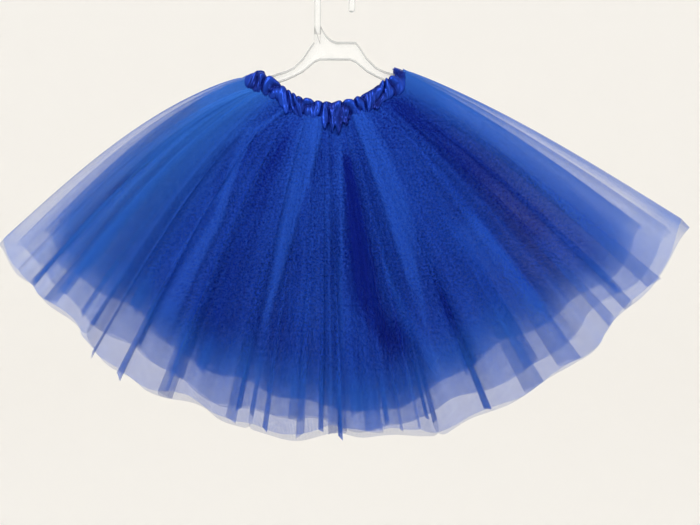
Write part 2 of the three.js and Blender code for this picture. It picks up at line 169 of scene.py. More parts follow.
def makeNetting():
    # Round net holes with threads between them: how much of the light each spot stops
    group, given, out = nodeGroup(
        "netting",
        [("Cells per metre", "NodeSocketFloat", 700.0), ("Thread", "NodeSocketFloat", 0.12),
         ("Thread cover", "NodeSocketFloat", 0.7), ("Hole cover", "NodeSocketFloat", 0.1),
         ("Gather", "NodeSocketFloat", 1.0)],
        [("Cover", "NodeSocketFloat")],
    )
    link = group.links.new
    place = addNode(group, "ShaderNodeUVMap", uv_map="clothMap")
    cells = addNode(group, "ShaderNodeTexVoronoi", voronoi_dimensions="2D",
                    feature="DISTANCE_TO_EDGE", Randomness=0.25)
    link(place.outputs["UV"], cells.inputs["Vector"])
    link(given.outputs["Cells per metre"], cells.inputs["Scale"])
    ramp = addNode(group, "ShaderNodeMapRange", interpolation_type="SMOOTHSTEP")
    link(cells.outputs["Distance"], ramp.inputs["Value"])
    link(given.outputs["Thread"], ramp.inputs["From Max"])
    link(given.outputs["Thread cover"], ramp.inputs["To Min"])
    link(given.outputs["Hole cover"], ramp.inputs["To Max"])
    seeThrough = mathNode(group, "SUBTRACT", 1.0, ramp.outputs["Result"])
    gathered = mathNode(group, "POWER", seeThrough, given.outputs["Gather"])
    link(mathNode(group, "SUBTRACT", 1.0, gathered), out.inputs["Cover"])
    return group


dyeAndGlintNoise = {
    "middle": 0.42,  # between deep, 0, and light, 1
    "streakStretch": 0.1,  # below 1 the streaks run along the cloth
    "cloudScale": 11.0,
    "cloudSize": 0.5,
    "grainScale": 420.0,
    # The next two place the highlight lines painted along small creases
    "glintScale": 95.0,
    "glintWidth": 0.05,
}


def makeDyeAndPaintedLight():
    # Unevenness of a dyed cloth: streaks along it and a fine grain. On top of it painted highlight lines
    # along small creases, and painted light and shade from the folds laid in the mesh; another input says
    # where the painted crease highlights lie
    group, given, out = nodeGroup(
        "dyeAndPaintedLight",
        [("Deep", "NodeSocketColor", (0, 0, 0.3, 1)), ("Light", "NodeSocketColor", (0.1, 0.2, 0.6, 1)),
         ("Streaks per metre", "NodeSocketFloat", 60.0), ("Streak size", "NodeSocketFloat", 0.5),
         ("Grain", "NodeSocketFloat", 0.3), ("Tone", "NodeSocketFloat", 0.0),
         ("Glint", "NodeSocketFloat", 0.0)],
        [("Colour", "NodeSocketColor")],
    )
    link = group.links.new
    place = addNode(group, "ShaderNodeUVMap", uv_map="clothMap")
    stretch = addNode(group, "ShaderNodeMapping", Scale=(1, dyeAndGlintNoise["streakStretch"], 1))
    link(place.outputs["UV"], stretch.inputs["Vector"])
    streaks = addNode(group, "ShaderNodeTexNoise", noise_dimensions="2D", Detail=3.0, Roughness=0.6)
    link(stretch.outputs["Vector"], streaks.inputs["Vector"])
    link(given.outputs["Streaks per metre"], streaks.inputs["Scale"])
    body = addNode(group, "ShaderNodeTexCoord")
    # Seen from the front the grain of all layers falls together, so it doesn't even out
    facing = addNode(group, "ShaderNodeMapping", Rotation=(math.pi / 2, 0, 0))
    link(body.outputs["Object"], facing.inputs["Vector"])
    cloud = addNode(group, "ShaderNodeTexNoise", Scale=dyeAndGlintNoise["cloudScale"], Detail=2.0)
    link(body.outputs["Object"], cloud.inputs["Vector"])
    grain = addNode(group, "ShaderNodeTexNoise", noise_dimensions="2D", Scale=dyeAndGlintNoise["grainScale"],
                    Detail=1.0)
    link(facing.outputs["Vector"], grain.inputs["Vector"])
    # Noise whose ridges become highlight lines painted along small creases
    creases = addNode(group, "ShaderNodeTexNoise", Scale=dyeAndGlintNoise["glintScale"], Detail=2.0,
                      Distortion=0.6)
    link(body.outputs["Object"], creases.inputs["Vector"])

    def uneven(noise, amount):
        return mathNode(group, "MULTIPLY", mathNode(group, "SUBTRACT", noise.outputs["Fac"], 0.5), amount)

    level = mathNode(group, "ADD", dyeAndGlintNoise["middle"], uneven(streaks, given.outputs["Streak size"]))
    level = mathNode(group, "ADD", level, uneven(cloud, dyeAndGlintNoise["cloudSize"]))
    level = mathNode(group, "ADD", level, uneven(grain, given.outputs["Grain"]))
    # Painted light and shade of the laid folds
    level = mathNode(group, "ADD", level, given.outputs["Tone"])
    # Painted highlight lines along the ridges of the crease noise
    ridge = mathNode(group, "ABSOLUTE", mathNode(group, "SUBTRACT", creases.outputs["Fac"], 0.5))
    line = addNode(group, "ShaderNodeMapRange", From_Max=dyeAndGlintNoise["glintWidth"], To_Min=1.0, To_Max=0.0)
    link(ridge, line.inputs["Value"])
    level = mathNode(group, "ADD", level,
                     mathNode(group, "MULTIPLY", line.outputs["Result"], given.outputs["Glint"]))
    blend = addNode(group, "ShaderNodeMix", data_type="RGBA", clamp_factor=True)
    link(level, blend.inputs["Factor"])
    mixFrom, mixTo, mixed = colourSockets(blend)
    link(given.outputs["Deep"], mixFrom)
    link(given.outputs["Light"], mixTo)
    link(mixed, out.inputs["Colour"])
    return group


netting = makeNetting()
dyeAndPaintedLight = makeDyeAndPaintedLight()


def newMaterial(name, colour, roughness, **sockets):
    material = bpy.data.materials.new(name)
    material.use_nodes = True
    material.diffuse_color = (*colour[:3], 1)
    shader = material.node_tree.nodes["Principled BSDF"]
    shader.inputs["Base Color"].default_value = (*colour[:3], 1)
    shader.inputs["Roughness"].default_value = roughness
    for key, value in sockets.items():
        shader.inputs[key.replace("_", " ")].default_value = value
    return material, material.node_tree, shader


def placeGroup(tree, group, **values):
    node = tree.nodes.new("ShaderNodeGroup")
    node.node_tree = group
    for key, value in values.items():
        node.inputs[key.replace("_", " ")].default_value = value
    return node


tulleFinish = {
    "deep": (0.0014, 0.009, 0.185, 1),
    "light": (0.018, 0.085, 0.51, 1),
    "backlit": (0.03, 0.145, 0.56, 1),  # painted light: a lighter colour where single plies let the light through
    "cellsPerMetre": 720.0,
    "thread": 0.13,
    "threadCover": 0.5,
    "holeCover": 0.13,
    "streaksPerMetre": 90.0,
    "streakSize": 0.4,
    "grain": 1.5,
    "roughness": 0.7,
    "specular": 0.04,
}


def makeTulleMaterial():
    material, tree, shader = newMaterial(
        "tulle", tulleFinish["light"], tulleFinish["roughness"],
        Specular_IOR_Level=tulleFinish["specular"])
    link = tree.links.new
    net = placeGroup(tree, netting, Cells_per_metre=tulleFinish["cellsPerMetre"],
                     Thread=tulleFinish["thread"], Thread_cover=tulleFinish["threadCover"],
                     Hole_cover=tulleFinish["holeCover"])
    gather = addNode(tree, "ShaderNodeAttribute", attribute_name="gather")
    link(gather.outputs["Fac"], net.inputs["Gather"])
    link(net.outputs["Cover"], shader.inputs["Alpha"])
    dyeAndLight = placeGroup(tree, dyeAndPaintedLight, Deep=tulleFinish["deep"], Light=tulleFinish["light"],
                     Streaks_per_metre=tulleFinish["streaksPerMetre"],
                     Streak_size=tulleFinish["streakSize"], Grain=tulleFinish["grain"])
    # Painted light and shade of the laid folds, and where highlight lines are painted along small creases
    for name in ("tone", "glint"):
        value = addNode(tree, "ShaderNodeAttribute", attribute_name=name)
        link(value.outputs["Fac"], dyeAndLight.inputs[name.capitalize()])
    # Painted light: the colour lightens where single plies let the light through
    blend = addNode(tree, "ShaderNodeMix", data_type="RGBA")
    mixFrom, mixTo, mixed = colourSockets(blend)
    backlit = addNode(tree, "ShaderNodeAttribute", attribute_name="backlit")
    link(backlit.outputs["Fac"], blend.inputs["Factor"])
    link(dyeAndLight.outputs["Colour"], mixFrom)
    mixTo.default_value = tulleFinish["backlit"]
    link(mixed, shader.inputs["Base Color"])
    return material


satinFinish = {
    "deep": (0.001, 0.006, 0.12, 1),
    "light": (0.012, 0.066, 0.52, 1),
    "roughness": 0.27,
    "metallic": 0.45,  # the sheen of satin takes the colour of its threads
    "specular": 0.5,
    "specularTint": (0.25, 0.4, 1, 1),
    "streaksPerMetre": 180.0,
    "streakSize": 0.6,
    "grain": 0.15,
    "weaveScale": 150.0,
    "weaveStretch": 0.3,
    "weaveBump": 0.25,
    "weaveDepth": 0.0012,
}


def makeSatinMaterial():
    material, tree, shader = newMaterial(
        "satin", satinFinish["light"], satinFinish["roughness"], Metallic=satinFinish["metallic"],
        Specular_IOR_Level=satinFinish["specular"], Specular_Tint=satinFinish["specularTint"])
    link = tree.links.new
    dyeAndLight = placeGroup(tree, dyeAndPaintedLight, Deep=satinFinish["deep"], Light=satinFinish["light"],
                     Streaks_per_metre=satinFinish["streaksPerMetre"],
                     Streak_size=satinFinish["streakSize"], Grain=satinFinish["grain"])
    # Painted shade, darker in the creases between the bunches
    tone = addNode(tree, "ShaderNodeAttribute", attribute_name="tone")
    link(tone.outputs["Fac"], dyeAndLight.inputs["Tone"])
    link(dyeAndLight.outputs["Colour"], shader.inputs["Base Color"])
    place = addNode(tree, "ShaderNodeUVMap", uv_map="clothMap")
    stretch = addNode(tree, "ShaderNodeMapping", Scale=(1, satinFinish["weaveStretch"], 1))
    weave = addNode(tree, "ShaderNodeTexNoise", noise_dimensions="2D", Scale=satinFinish["weaveScale"],
                    Detail=3.0)
    link(place.outputs["UV"], stretch.inputs["Vector"])
    link(stretch.outputs["Vector"], weave.inputs["Vector"])
    bump = addNode(tree, "ShaderNodeBump", Strength=satinFinish["weaveBump"],
                   Distance=satinFinish["weaveDepth"])
    link(weave.outputs["Fac"], bump.inputs["Height"])
    link(bump.outputs["Normal"], shader.inputs["Normal"])
    return material


plasticFinish = {
    "middle": (0.88, 0.9, 0.89, 1),
    # Grey painted at the edges, in place of the light they bend away
    "edge": (0.3, 0.33, 0.33, 1),
    "cover": 0.16,
    "edgeCover": 0.62,
    "roughness": 0.12,
    "specular": 0.5,
    "flowScale": 45.0,  # unevenness of the moulding
    "flowSize": 0.5,
    "flowBump": 0.12,
    "flowDepth": 0.002,
}


def makePlasticMaterial():
    # Clear moulding: pale through the flat of it, with grey painted where its edges bend the light away
    material, tree, shader = newMaterial(
        "clearPlastic", plasticFinish["middle"], plasticFinish["roughness"],
        Specular_IOR_Level=plasticFinish["specular"])
    link = tree.links.new
    edge = addNode(tree, "ShaderNodeAttribute", attribute_name="edge")
    place = addNode(tree, "ShaderNodeTexCoord")
    flow = addNode(tree, "ShaderNodeTexNoise", Scale=plasticFinish["flowScale"], Detail=2.0)
    link(place.outputs["Object"], flow.inputs["Vector"])
    uneven = mathNode(tree, "SUBTRACT", flow.outputs["Fac"], 0.5)
    uneven = mathNode(tree, "MULTIPLY", uneven, plasticFinish["flowSize"])
    share = mathNode(tree, "ADD", edge.outputs["Fac"], uneven)
    blend = addNode(tree, "ShaderNodeValToRGB")
    blend.color_ramp.elements[0].color = plasticFinish["middle"]
    blend.color_ramp.elements[1].color = plasticFinish["edge"]
    link(share, blend.inputs["Fac"])
    link(blend.outputs["Color"], shader.inputs["Base Color"])
    cover = addNode(tree, "ShaderNodeMapRange", To_Min=plasticFinish["cover"],
                    To_Max=plasticFinish["edgeCover"])
    link(share, cover.inputs["Value"])
    link(cover.outputs["Result"], shader.inputs["Alpha"])
    bump = addNode(tree, "ShaderNodeBump", Strength=plasticFinish["flowBump"],
                   Distance=plasticFinish["flowDepth"])
    link(flow.outputs["Fac"], bump.inputs["Height"])
    link(bump.outputs["Normal"], shader.inputs["Normal"])
    return material


print("materials")
tulleMaterial = makeTulleMaterial()
satinMaterial = makeSatinMaterial()
plasticMaterial = makePlasticMaterial()


# The skirt's form, from the same tables as the solids

hanger = {
    "hookRadius": 17,
    "hookWidth": 7.6,
    "hookDepth": 6,
    "hookTipDrop": 21,
    "hookSides": 24,
    "crownSteps": 33,
    "stemSteps": 8,
    "stemInPlate": 10,  # how far the rod runs on into the plate
    "hookEnd": [(-0.3, 14), (-0.7, 6), (-1, 3)],  # from the rod's line, and above the tip
    "hookEndRound": 3,
    "hookEndEdge": 0.9,
    "plateColumns": 71,
    "edgeRound": 0.5,
    "webRound": 0.3,
    "rimSteps": 2.6,  # a narrow arm's height holds this many rims
    "tipSteps": 6,
    "tipSag": 2,
    "neckTop": -54,
    "rimDepth": 6.4,
    "rimHeight": 2.4,
    "webDepth": 1.6,
    "tipRound": 6,
    "arm": [  # from the middle outwards: distance, top edge, lower edge
        (18, -73.4, -95.5), (25, -73.6, -98.5), (31, -81.5, -103.5), (38, -92.5, -109.5),
        (49, -103.5, -115.5), (58, -108, -119.5), (70, -111.5, -123.5), (84, -116.5, -128),
        (96, -123, -134), (105, -130, -139),
    ],
}
band = {
    "width": 25,
    "tilt": 0.12,
    "droop": 3,  # how much lower than its table the back hangs
    "turnSeat": 2.7,  # of the middle line above an arm
    "turnPlace": 7.5,  # where that height is taken, inwards from the turn
    "gap": 1.1,  # from the casing to the net sewn under it
    "gapAtTurn": 0.7,  # added to it where the band turns over an arm
    "sections": [
        dict(at=0.0, x=-95.5, z=None, frontY=0, backY=0, flare=-80),
        dict(at=0.02, x=-96, z=-114.5, frontY=-6.5, backY=6.5, flare=-70),
        dict(at=0.05, x=-98, z=-120.5, frontY=-12.5, backY=11, flare=-30),
        dict(at=0.13, x=-88.5, z=-125, frontY=-17, backY=13, flare=-8),
        dict(at=0.21, x=-71, z=-133.5, frontY=-21, backY=15, flare=-6),
        dict(at=0.28, x=-59, z=-143.5, frontY=-26, backY=17, flare=-5),
        dict(at=0.38, x=-41, z=-155, frontY=-32, backY=19, flare=-3),
        dict(at=0.48, x=-22, z=-160, frontY=-36, backY=20, flare=0),
        dict(at=0.58, x=-2, z=-161, frontY=-37, backY=20, flare=0),
        dict(at=0.67, x=17, z=-159, frontY=-35, backY=19, flare=2),
        dict(at=0.76, x=34.5, z=-151, frontY=-30, backY=17, flare=4),
        dict(at=0.84, x=50, z=-140, frontY=-24, backY=15, flare=6),
        dict(at=0.91, x=63, z=-132, frontY=-19, backY=13, flare=8),
        dict(at=0.95, x=75, z=-124, frontY=-13, backY=11, flare=28),
        dict(at=0.98, x=73, z=-109.5, frontY=-6.5, backY=6.5, flare=66),
        dict(at=1.0, x=72, z=None, frontY=0, backY=0, flare=80),
    ],
}
fan = {
    "foldWidth": 0.09,  # share of a side over which the side fold turns
    "spreadStep": 0.04,  # share by which each layer's fan is narrower than the one over it
    "bowPeak": 0.75,  # below 1 the bow is widest above the middle
    "pitchAtBand": 1.7,  # from one layer to the next
    "pitchAtHem": {front: 12, back: 8},
    "pleats": {front: 23, back: 17},
    "pleatDepth": {front: 12, back: 6},
    "pleatDepthAtBand": 0.35,
    "pleatGrowth": 0.85,
    "pleatShareAtFold": 0.3,
    "broadShare": {front: 1, back: 0.35},
    "waveSeed": {front: 0.9, back: 2.3},
    "pleatWidthWaves": [(0.3, 2.4, 1), (0.2, 5.1, 2)],  # size, turn for each pleat, times the seed
    "pleatHeightWave": (0.25, 1.7),
    "hemWaves": [(4, 31, 2.1), (3, 67, 1)],  # height, turn along the hem, shift for each layer
    "sections": [
        dict(at=0.0, spread=-56, frontLean=0, backLean=0, length=354, bow=-21.5),
        dict(at=0.02, spread=-54.5, frontLean=2, backLean=2, length=353, bow=-21.5),
        dict(at=0.06, spread=-50.5, frontLean=4, backLean=2.5, length=355, bow=-21),
        dict(at=0.13, spread=-44, frontLean=5.5, backLean=2.5, length=361, bow=-19),
        dict(at=0.25, spread=-31, frontLean=9.5, backLean=2.5, length=373, bow=-13),
        dict(at=0.38, spread=-17, frontLean=12.5, backLean=2, length=372, bow=-6),
        dict(at=0.5, spread=-3.5, frontLean=13.5, backLean=2, length=377, bow=-1),
        dict(at=0.62, spread=9, frontLean=13, backLean=2, length=378, bow=2),
        dict(at=0.75, spread=24.5, frontLean=10.5, backLean=2.5, length=391, bow=5),
        dict(at=0.87, spread=41, frontLean=6.5, backLean=2.5, length=386, bow=8),
        dict(at=0.94, spread=50.5, frontLean=4, backLean=2.5, length=384, bow=9.5),
        dict(at=0.98, spread=58.5, frontLean=2, backLean=2, length=389, bow=10),
        dict(at=1.0, spread=61.5, frontLean=0, backLean=0, length=392, bow=10),
    ],
    "broadFolds": [
        dict(at=0.08, width=0.035, rise=7),
        dict(at=0.21, width=0.04, rise=-9),
        dict(at=0.36, width=0.05, rise=12),
        dict(at=0.46, width=0.035, rise=-8),
        dict(at=0.57, width=0.045, rise=11),
        dict(at=0.69, width=0.04, rise=-10),
        dict(at=0.79, width=0.04, rise=9),
        dict(at=0.9, width=0.035, rise=-7),
    ],
    "hemRises": [  # where the inner layers end further up, or further down
        dict(at=0.25, width=0.1, rise=20),
        dict(at=0.61, width=0.055, rise=-22),
        dict(at=0.76, width=0.07, rise=26),
        dict(at=0.9, width=0.05, rise=8),
    ],
}
layers = [
    # front and back: how much shorter than the fan's length the hem is. flatWidth: of the cut.
    # Plies of net at the hem and above it, how far up they change, and their share at the side lines
    # The last value is how much of the panels' painted light and shade each layer takes
    dict(name="outer", front=14, back=0, flatWidth=2600, hemPlies=2.1, plies=1.5, plyRun=70,
         sidePlies=1.1, shadingShare=1.25),
    dict(name="middle", front=30, back=22, flatWidth=2300, hemPlies=1.9, plies=3.4, plyRun=46,
         sidePlies=0.26, shadingShare=0.75),
    dict(name="inner", front=54, back=50, flatWidth=1900, hemPlies=2.8, plies=10.0, plyRun=34,
         sidePlies=0.2, shadingShare=0.6),
]


def smoothCurve(places, values, at):
    # A cubic through the points whose slopes follow their neighbours
    places, values = np.asarray(places, float), np.asarray(values, float)
    slopes = np.empty_like(values)
    slopes[1:-1] = (values[2:] - values[:-2]) / (places[2:] - places[:-2])
    slopes[0] = (values[1] - values[0]) / (places[1] - places[0])
    slopes[-1] = (values[-1] - values[-2]) / (places[-1] - places[-2])
    row = np.clip(np.searchsorted(places, at) - 1, 0, len(places) - 2)
    span = places[row + 1] - places[row]
    s = np.clip((at - places[row]) / span, 0, 1)
    ease = s * s * (3 - 2 * s)
    rise = span * s * (1 - s) * ((1 - s) * slopes[row] - s * slopes[row + 1])
    return values[row] + (values[row + 1] - values[row]) * ease + rise


def along(table, column, at):
    return smoothCurve([row["at"] for row in table], [row[column] for row in table], at)


def armTop(x):
    arm = hanger["arm"]
    return float(np.interp(x, [row[0] for row in arm], [row[1] for row in arm]))


for row in band["sections"]:
    if row["z"] is None:
        row["z"] = armTop(abs(row["x"]) - band["turnPlace"]) + band["turnSeat"]


def smoothStep(value, low, high):
    s = np.clip((value - low) / (high - low), 0, 1)
    return s * s * (3 - 2 * s)


def pastFold(at):
    return smoothStep(np.minimum(at, 1 - at), 0, fan["foldWidth"])


def unit(vectors):
    return vectors / np.maximum(np.linalg.norm(vectors, axis=-1, keepdims=True), 1e-9)


def stack(x, y, z):
    return np.stack(np.broadcast_arrays(x, y, z), -1).astype(float)


def bandMiddle(at, side):
    depth = along(band["sections"], "frontY" if side > 0 else "backY", at)
    droop = band["droop"] * np.sin(np.pi * at) * (side < 0)
    return stack(along(band["sections"], "x", at), depth, along(band["sections"], "z", at) - droop)


gridStep = 0.004  # between the points that give the band's run


def bandFrame(at, side):
    run = (bandMiddle(np.minimum(at + gridStep, 1), side)
           - bandMiddle(np.maximum(at - gridStep, 0), side))
    run[at <= 0] = (0, -side, 0)
    run[at >= 1] = (0, side, 0)
    flare = np.radians(along(band["sections"], "flare", at))
    down = unit(stack(np.sin(flare), -side * band["tilt"] * np.cos(flare), -np.cos(flare)))
    out = unit(np.cross(down, unit(run)) * side)
    return bandMiddle(at, side), down, out


def seamPoint(at, side):
    middle, down, _ = bandFrame(at, side)
    clear = band["gap"] + band["gapAtTurn"] * (1 - pastFold(at))
    return middle + down * (band["width"] / 2 + clear)[..., None]


def fanPoint(at, distance, side, layer):
    # A point of a layer's smooth fan, before pleats, at a distance from the waistband
    inwards = np.arcsin(layer * fan["pitchAtHem"][side] / along(fan["sections"], "length", at))
    narrower = layer * fan["spreadStep"] * (1 - pastFold(at))
    spread = np.radians(along(fan["sections"], "spread", at)) * (1 - narrower)
    lean = np.radians(along(fan["sections"], "frontLean" if side > 0 else "backLean", at))
    tilt = lean - inwards * pastFold(at)
    run = stack(np.sin(spread) * np.cos(tilt), -np.sin(tilt) * side,
                -np.cos(spread) * np.cos(tilt))
    across = (seamPoint(np.minimum(at + gridStep, 1), side)
              - seamPoint(np.maximum(at - gridStep, 0), side))
    across[at <= 0] = (0, -side, 0)
    across[at >= 1] = (0, side, 0)
    out = unit(np.cross(run, across) * side)
    reach = np.clip(distance / along(fan["sections"], "length", at), 0, 1)
    bow = along(fan["sections"], "bow", at) * np.sin(np.pi * reach ** fan["bowPeak"])
    aside = stack(np.cos(spread), 0, np.sin(spread)) * bow[..., None]
    start = seamPoint(at, side) + out * (1 - layer) * fan["pitchAtBand"]
    return start + aside + run * distance[..., None]


slopeStep, slopeRun = 0.01, 15  # between the points that give the fan's slope, across and along it


def fanOut(at, distance, side):
    # Square to the outer layer's smooth fan, and in the side line's plane at both sides
    left = fanPoint(np.maximum(at - slopeStep, 0), distance, side, 0)
    right = fanPoint(np.minimum(at + slopeStep, 1), distance, side, 0)
    above = fanPoint(at, distance, side, 0)
    below = fanPoint(at, distance + slopeRun, side, 0)
    out = unit(np.cross(below - above, right - left) * side)
    out[..., 1] *= pastFold(at)
    return unit(out)


def pleatWave(side):
    # Crests and hollows of the uneven pleats across a side: places and heights
    pleats, seed = fan["pleats"][side], fan["waveSeed"][side]
    number = np.arange(pleats)
    widths = np.ones(pleats)
    for size, turn, times in fan["pleatWidthWaves"]:
        widths = widths + size * np.sin(number * turn + seed * times)
    starts = np.concatenate([[0], np.cumsum(widths)])
    places, heights = [], []
    size, turn = fan["pleatHeightWave"]
    for i in range(pleats):
        for quarter, height in enumerate((0, 1, 0, -1)):
            places.append((starts[i] + widths[i] * quarter / 4) / starts[-1])
            heights.append(height * (1 + size * math.sin(i * turn + seed)))
    return np.array(places + [1.0]), np.array(heights + [0.0])


def broadRise(at, side):
    rise = sum(f["rise"] * np.exp(-(((at - f["at"]) / f["width"]) ** 2)) for f in fan["broadFolds"])
    return rise * fan["broadShare"][side]


def hemUnevenness(at, layer):
    rise = sum(r["rise"] * np.exp(-(((at - r["at"]) / r["width"]) ** 2)) for r in fan["hemRises"])
    waves = sum(size * np.sin(at * turn + layer * shift) for size, turn, shift in fan["hemWaves"])
    return waves - rise * layer / 2


# Tulle

tulle = {
    "columns": 430,  # on each side, before folds
    "rows": 40,
    "rowGrowth": 1.35,  # above 1 the rows are closer at the band
    "tuck": 6,  # how far the tulle reaches up into the casing
    "hemWidth": {front: 1000, back: 960},  # along the smooth hem
    "bandLength": {front: 250, back: 215},
    "foldMargin": 0.007,
    "foldDepth": 2.6,
    "foldDepthAtBand": 0.12,  # as a share
    "foldOpening": 0.8,  # below 1 a fold opens faster near the band
    "slant": 0.35,  # the folds' ends are cut aslant
    "slantWidth": 9,  # of a fold, from which its slant grows no more
    "stepsAtEnds": 12,
    "stepsInFold": 7,
    # Folds laid over themselves: place, width at the band and at the hem, turns, extra length.
    # lies is 1 where the left part lies over the right one and -1 the other way
    "folds": {
        ("outer", front): [
            dict(at=0.055, band=1, hem=10, turns=1, drop=-4, lies=1),
            dict(at=0.09, band=1, hem=5, turns=2, drop=-6, lies=1),
            dict(at=0.13, band=1, hem=16, turns=1, drop=-3, lies=-1),
            dict(at=0.21, band=1, hem=7, turns=2, drop=6, lies=1),
            dict(at=0.257, band=1, hem=11, turns=2, drop=8, lies=1),
            dict(at=0.33, band=1, hem=3, turns=1, drop=2, lies=-1),
            dict(at=0.415, band=3, hem=12, turns=1, drop=0, lies=1),
            dict(at=0.457, band=1, hem=6, turns=2, drop=1, lies=1),
            dict(at=0.503, band=1, hem=10, turns=1, drop=2, lies=-1),
            dict(at=0.53, band=1, hem=7, turns=2, drop=3, lies=1),
            dict(at=0.556, band=1, hem=6, turns=3, drop=12, lies=1),
            dict(at=0.635, band=1, hem=3, turns=1, drop=2, lies=1),
            dict(at=0.655, band=1, hem=4, turns=1, drop=-4, lies=-1),
            dict(at=0.738, band=1, hem=6, turns=3, drop=0, lies=1),
            dict(at=0.835, band=3, hem=26, turns=1, drop=-3, lies=1),
            dict(at=0.9, band=1, hem=12, turns=1, drop=-4, lies=-1),
            dict(at=0.95, band=1, hem=8, turns=1, drop=2, lies=1),
        ],
        ("middle", front): [
            dict(at=0.09, band=2, hem=14, turns=1, drop=-2, lies=1),
            dict(at=0.17, band=2, hem=6, turns=2, drop=2, lies=1),
            dict(at=0.33, band=3, hem=20, turns=1, drop=4, lies=-1),
            dict(at=0.42, band=2, hem=6, turns=2, drop=4, lies=-1),
            dict(at=0.6, band=3, hem=22, turns=1, drop=4, lies=1),
            dict(at=0.67, band=2, hem=5, turns=2, drop=4, lies=1),
            dict(at=0.8, band=3, hem=24, turns=1, drop=-2, lies=-1),
            dict(at=0.93, band=2, hem=10, turns=1, drop=-2, lies=-1),
        ],
        ("inner", front): [
            dict(at=0.14, band=2, hem=16, turns=1, drop=3, lies=-1),
            dict(at=0.36, band=2, hem=18, turns=1, drop=3, lies=1),
            dict(at=0.53, band=2, hem=8, turns=1, drop=4, lies=1),
            dict(at=0.74, band=2, hem=18, turns=1, drop=3, lies=-1),
        ],
        ("outer", back): [
            dict(at=0.07, band=1, hem=9, turns=1, drop=-4, lies=1),
            dict(at=0.18, band=2, hem=6, turns=2, drop=-16, lies=-1),
            dict(at=0.31, band=3, hem=20, turns=1, drop=-3, lies=1),
            dict(at=0.43, band=2, hem=6, turns=2, drop=-18, lies=1),
            dict(at=0.55, band=4, hem=26, turns=1, drop=-2, lies=-1),
            dict(at=0.68, band=2, hem=6, turns=2, drop=-18, lies=-1),
            dict(at=0.8, band=3, hem=22, turns=1, drop=-3, lies=1),
            dict(at=0.93, band=1, hem=9, turns=1, drop=-4, lies=-1),
        ],
        ("middle", back): [
            dict(at=0.12, band=2, hem=16, turns=1, drop=3, lies=-1),
            dict(at=0.25, band=2, hem=6, turns=2, drop=-6, lies=1),
            dict(at=0.49, band=3, hem=20, turns=1, drop=3, lies=1),
            dict(at=0.62, band=2, hem=6, turns=2, drop=-6, lies=-1),
            dict(at=0.86, band=2, hem=16, turns=1, drop=3, lies=1),
        ],
        ("inner", back): [
            dict(at=0.22, band=2, hem=18, turns=1, drop=3, lies=1),
            dict(at=0.58, band=2, hem=18, turns=1, drop=3, lies=-1),
        ],
    },
    # Ripples of the gathers: how many on a side, height at the band and how far down they die out
    "ripples": [
        dict(count=120, height=0.4, reach=60),
        dict(count=62, height=0.7, reach=150),
        dict(count=34, height=0.95, reach=330),
    ],
    "rippleAtBand": 0.4,  # share of a ripple's height there, and how fast it grows to the whole
    "rippleGrowth": 4,
    "rippleWaves": 4,  # in each ripple
    "rippleSpread": (0.75, 1.3),  # of their numbers
    "rippleDrift": 2.4,  # how far they wander from band to hem
    "rippleSeed": 11,
    "calmRuns": (71, 43),  # along the cloth, where the ripples come and go
    "calmShare": 0.45,
    "pleatShare": 0.6,  # of the solids' pleats, which are broader than the net's
    # Between these places, counted from each side line, a layer comes to all of its plies
    "thinLeft": (0.11, 0.27),
    "thinRight": (0.0, 0.04),
    # On the side lines the outer net turns edge on, which shows as a darker line
    "edgeWidth": 0.007,
    "edgePlies": (2.2, 0.4),  # more of them on the left side line and on the right one
    # How much painted light, the lighter colour of single plies that let the light through, shows at the
    # hem and at the side lines, and where that ends
    "backlitHem": 0.58,
    "backlitSide": 0.9,
    "litLeft": (0.08, 0.27),
    "litRight": (0.0, 0.07),
    "backlitRun": (-14, 64),  # from the innermost hem upwards
    # Plies come from the gathers too fine for the mesh, 0, or from how steep the cloth stands, 1
    "steepShare": 0.45,
    "steepRange": (0.5, 9),
    "gatherRange": (0.6, 30),
    "backShare": 0.6,  # of the front's panels, with their painted light and shade, and of the painted crease highlights
    "lineClearance": 0.15,  # from the plane between front and back
}
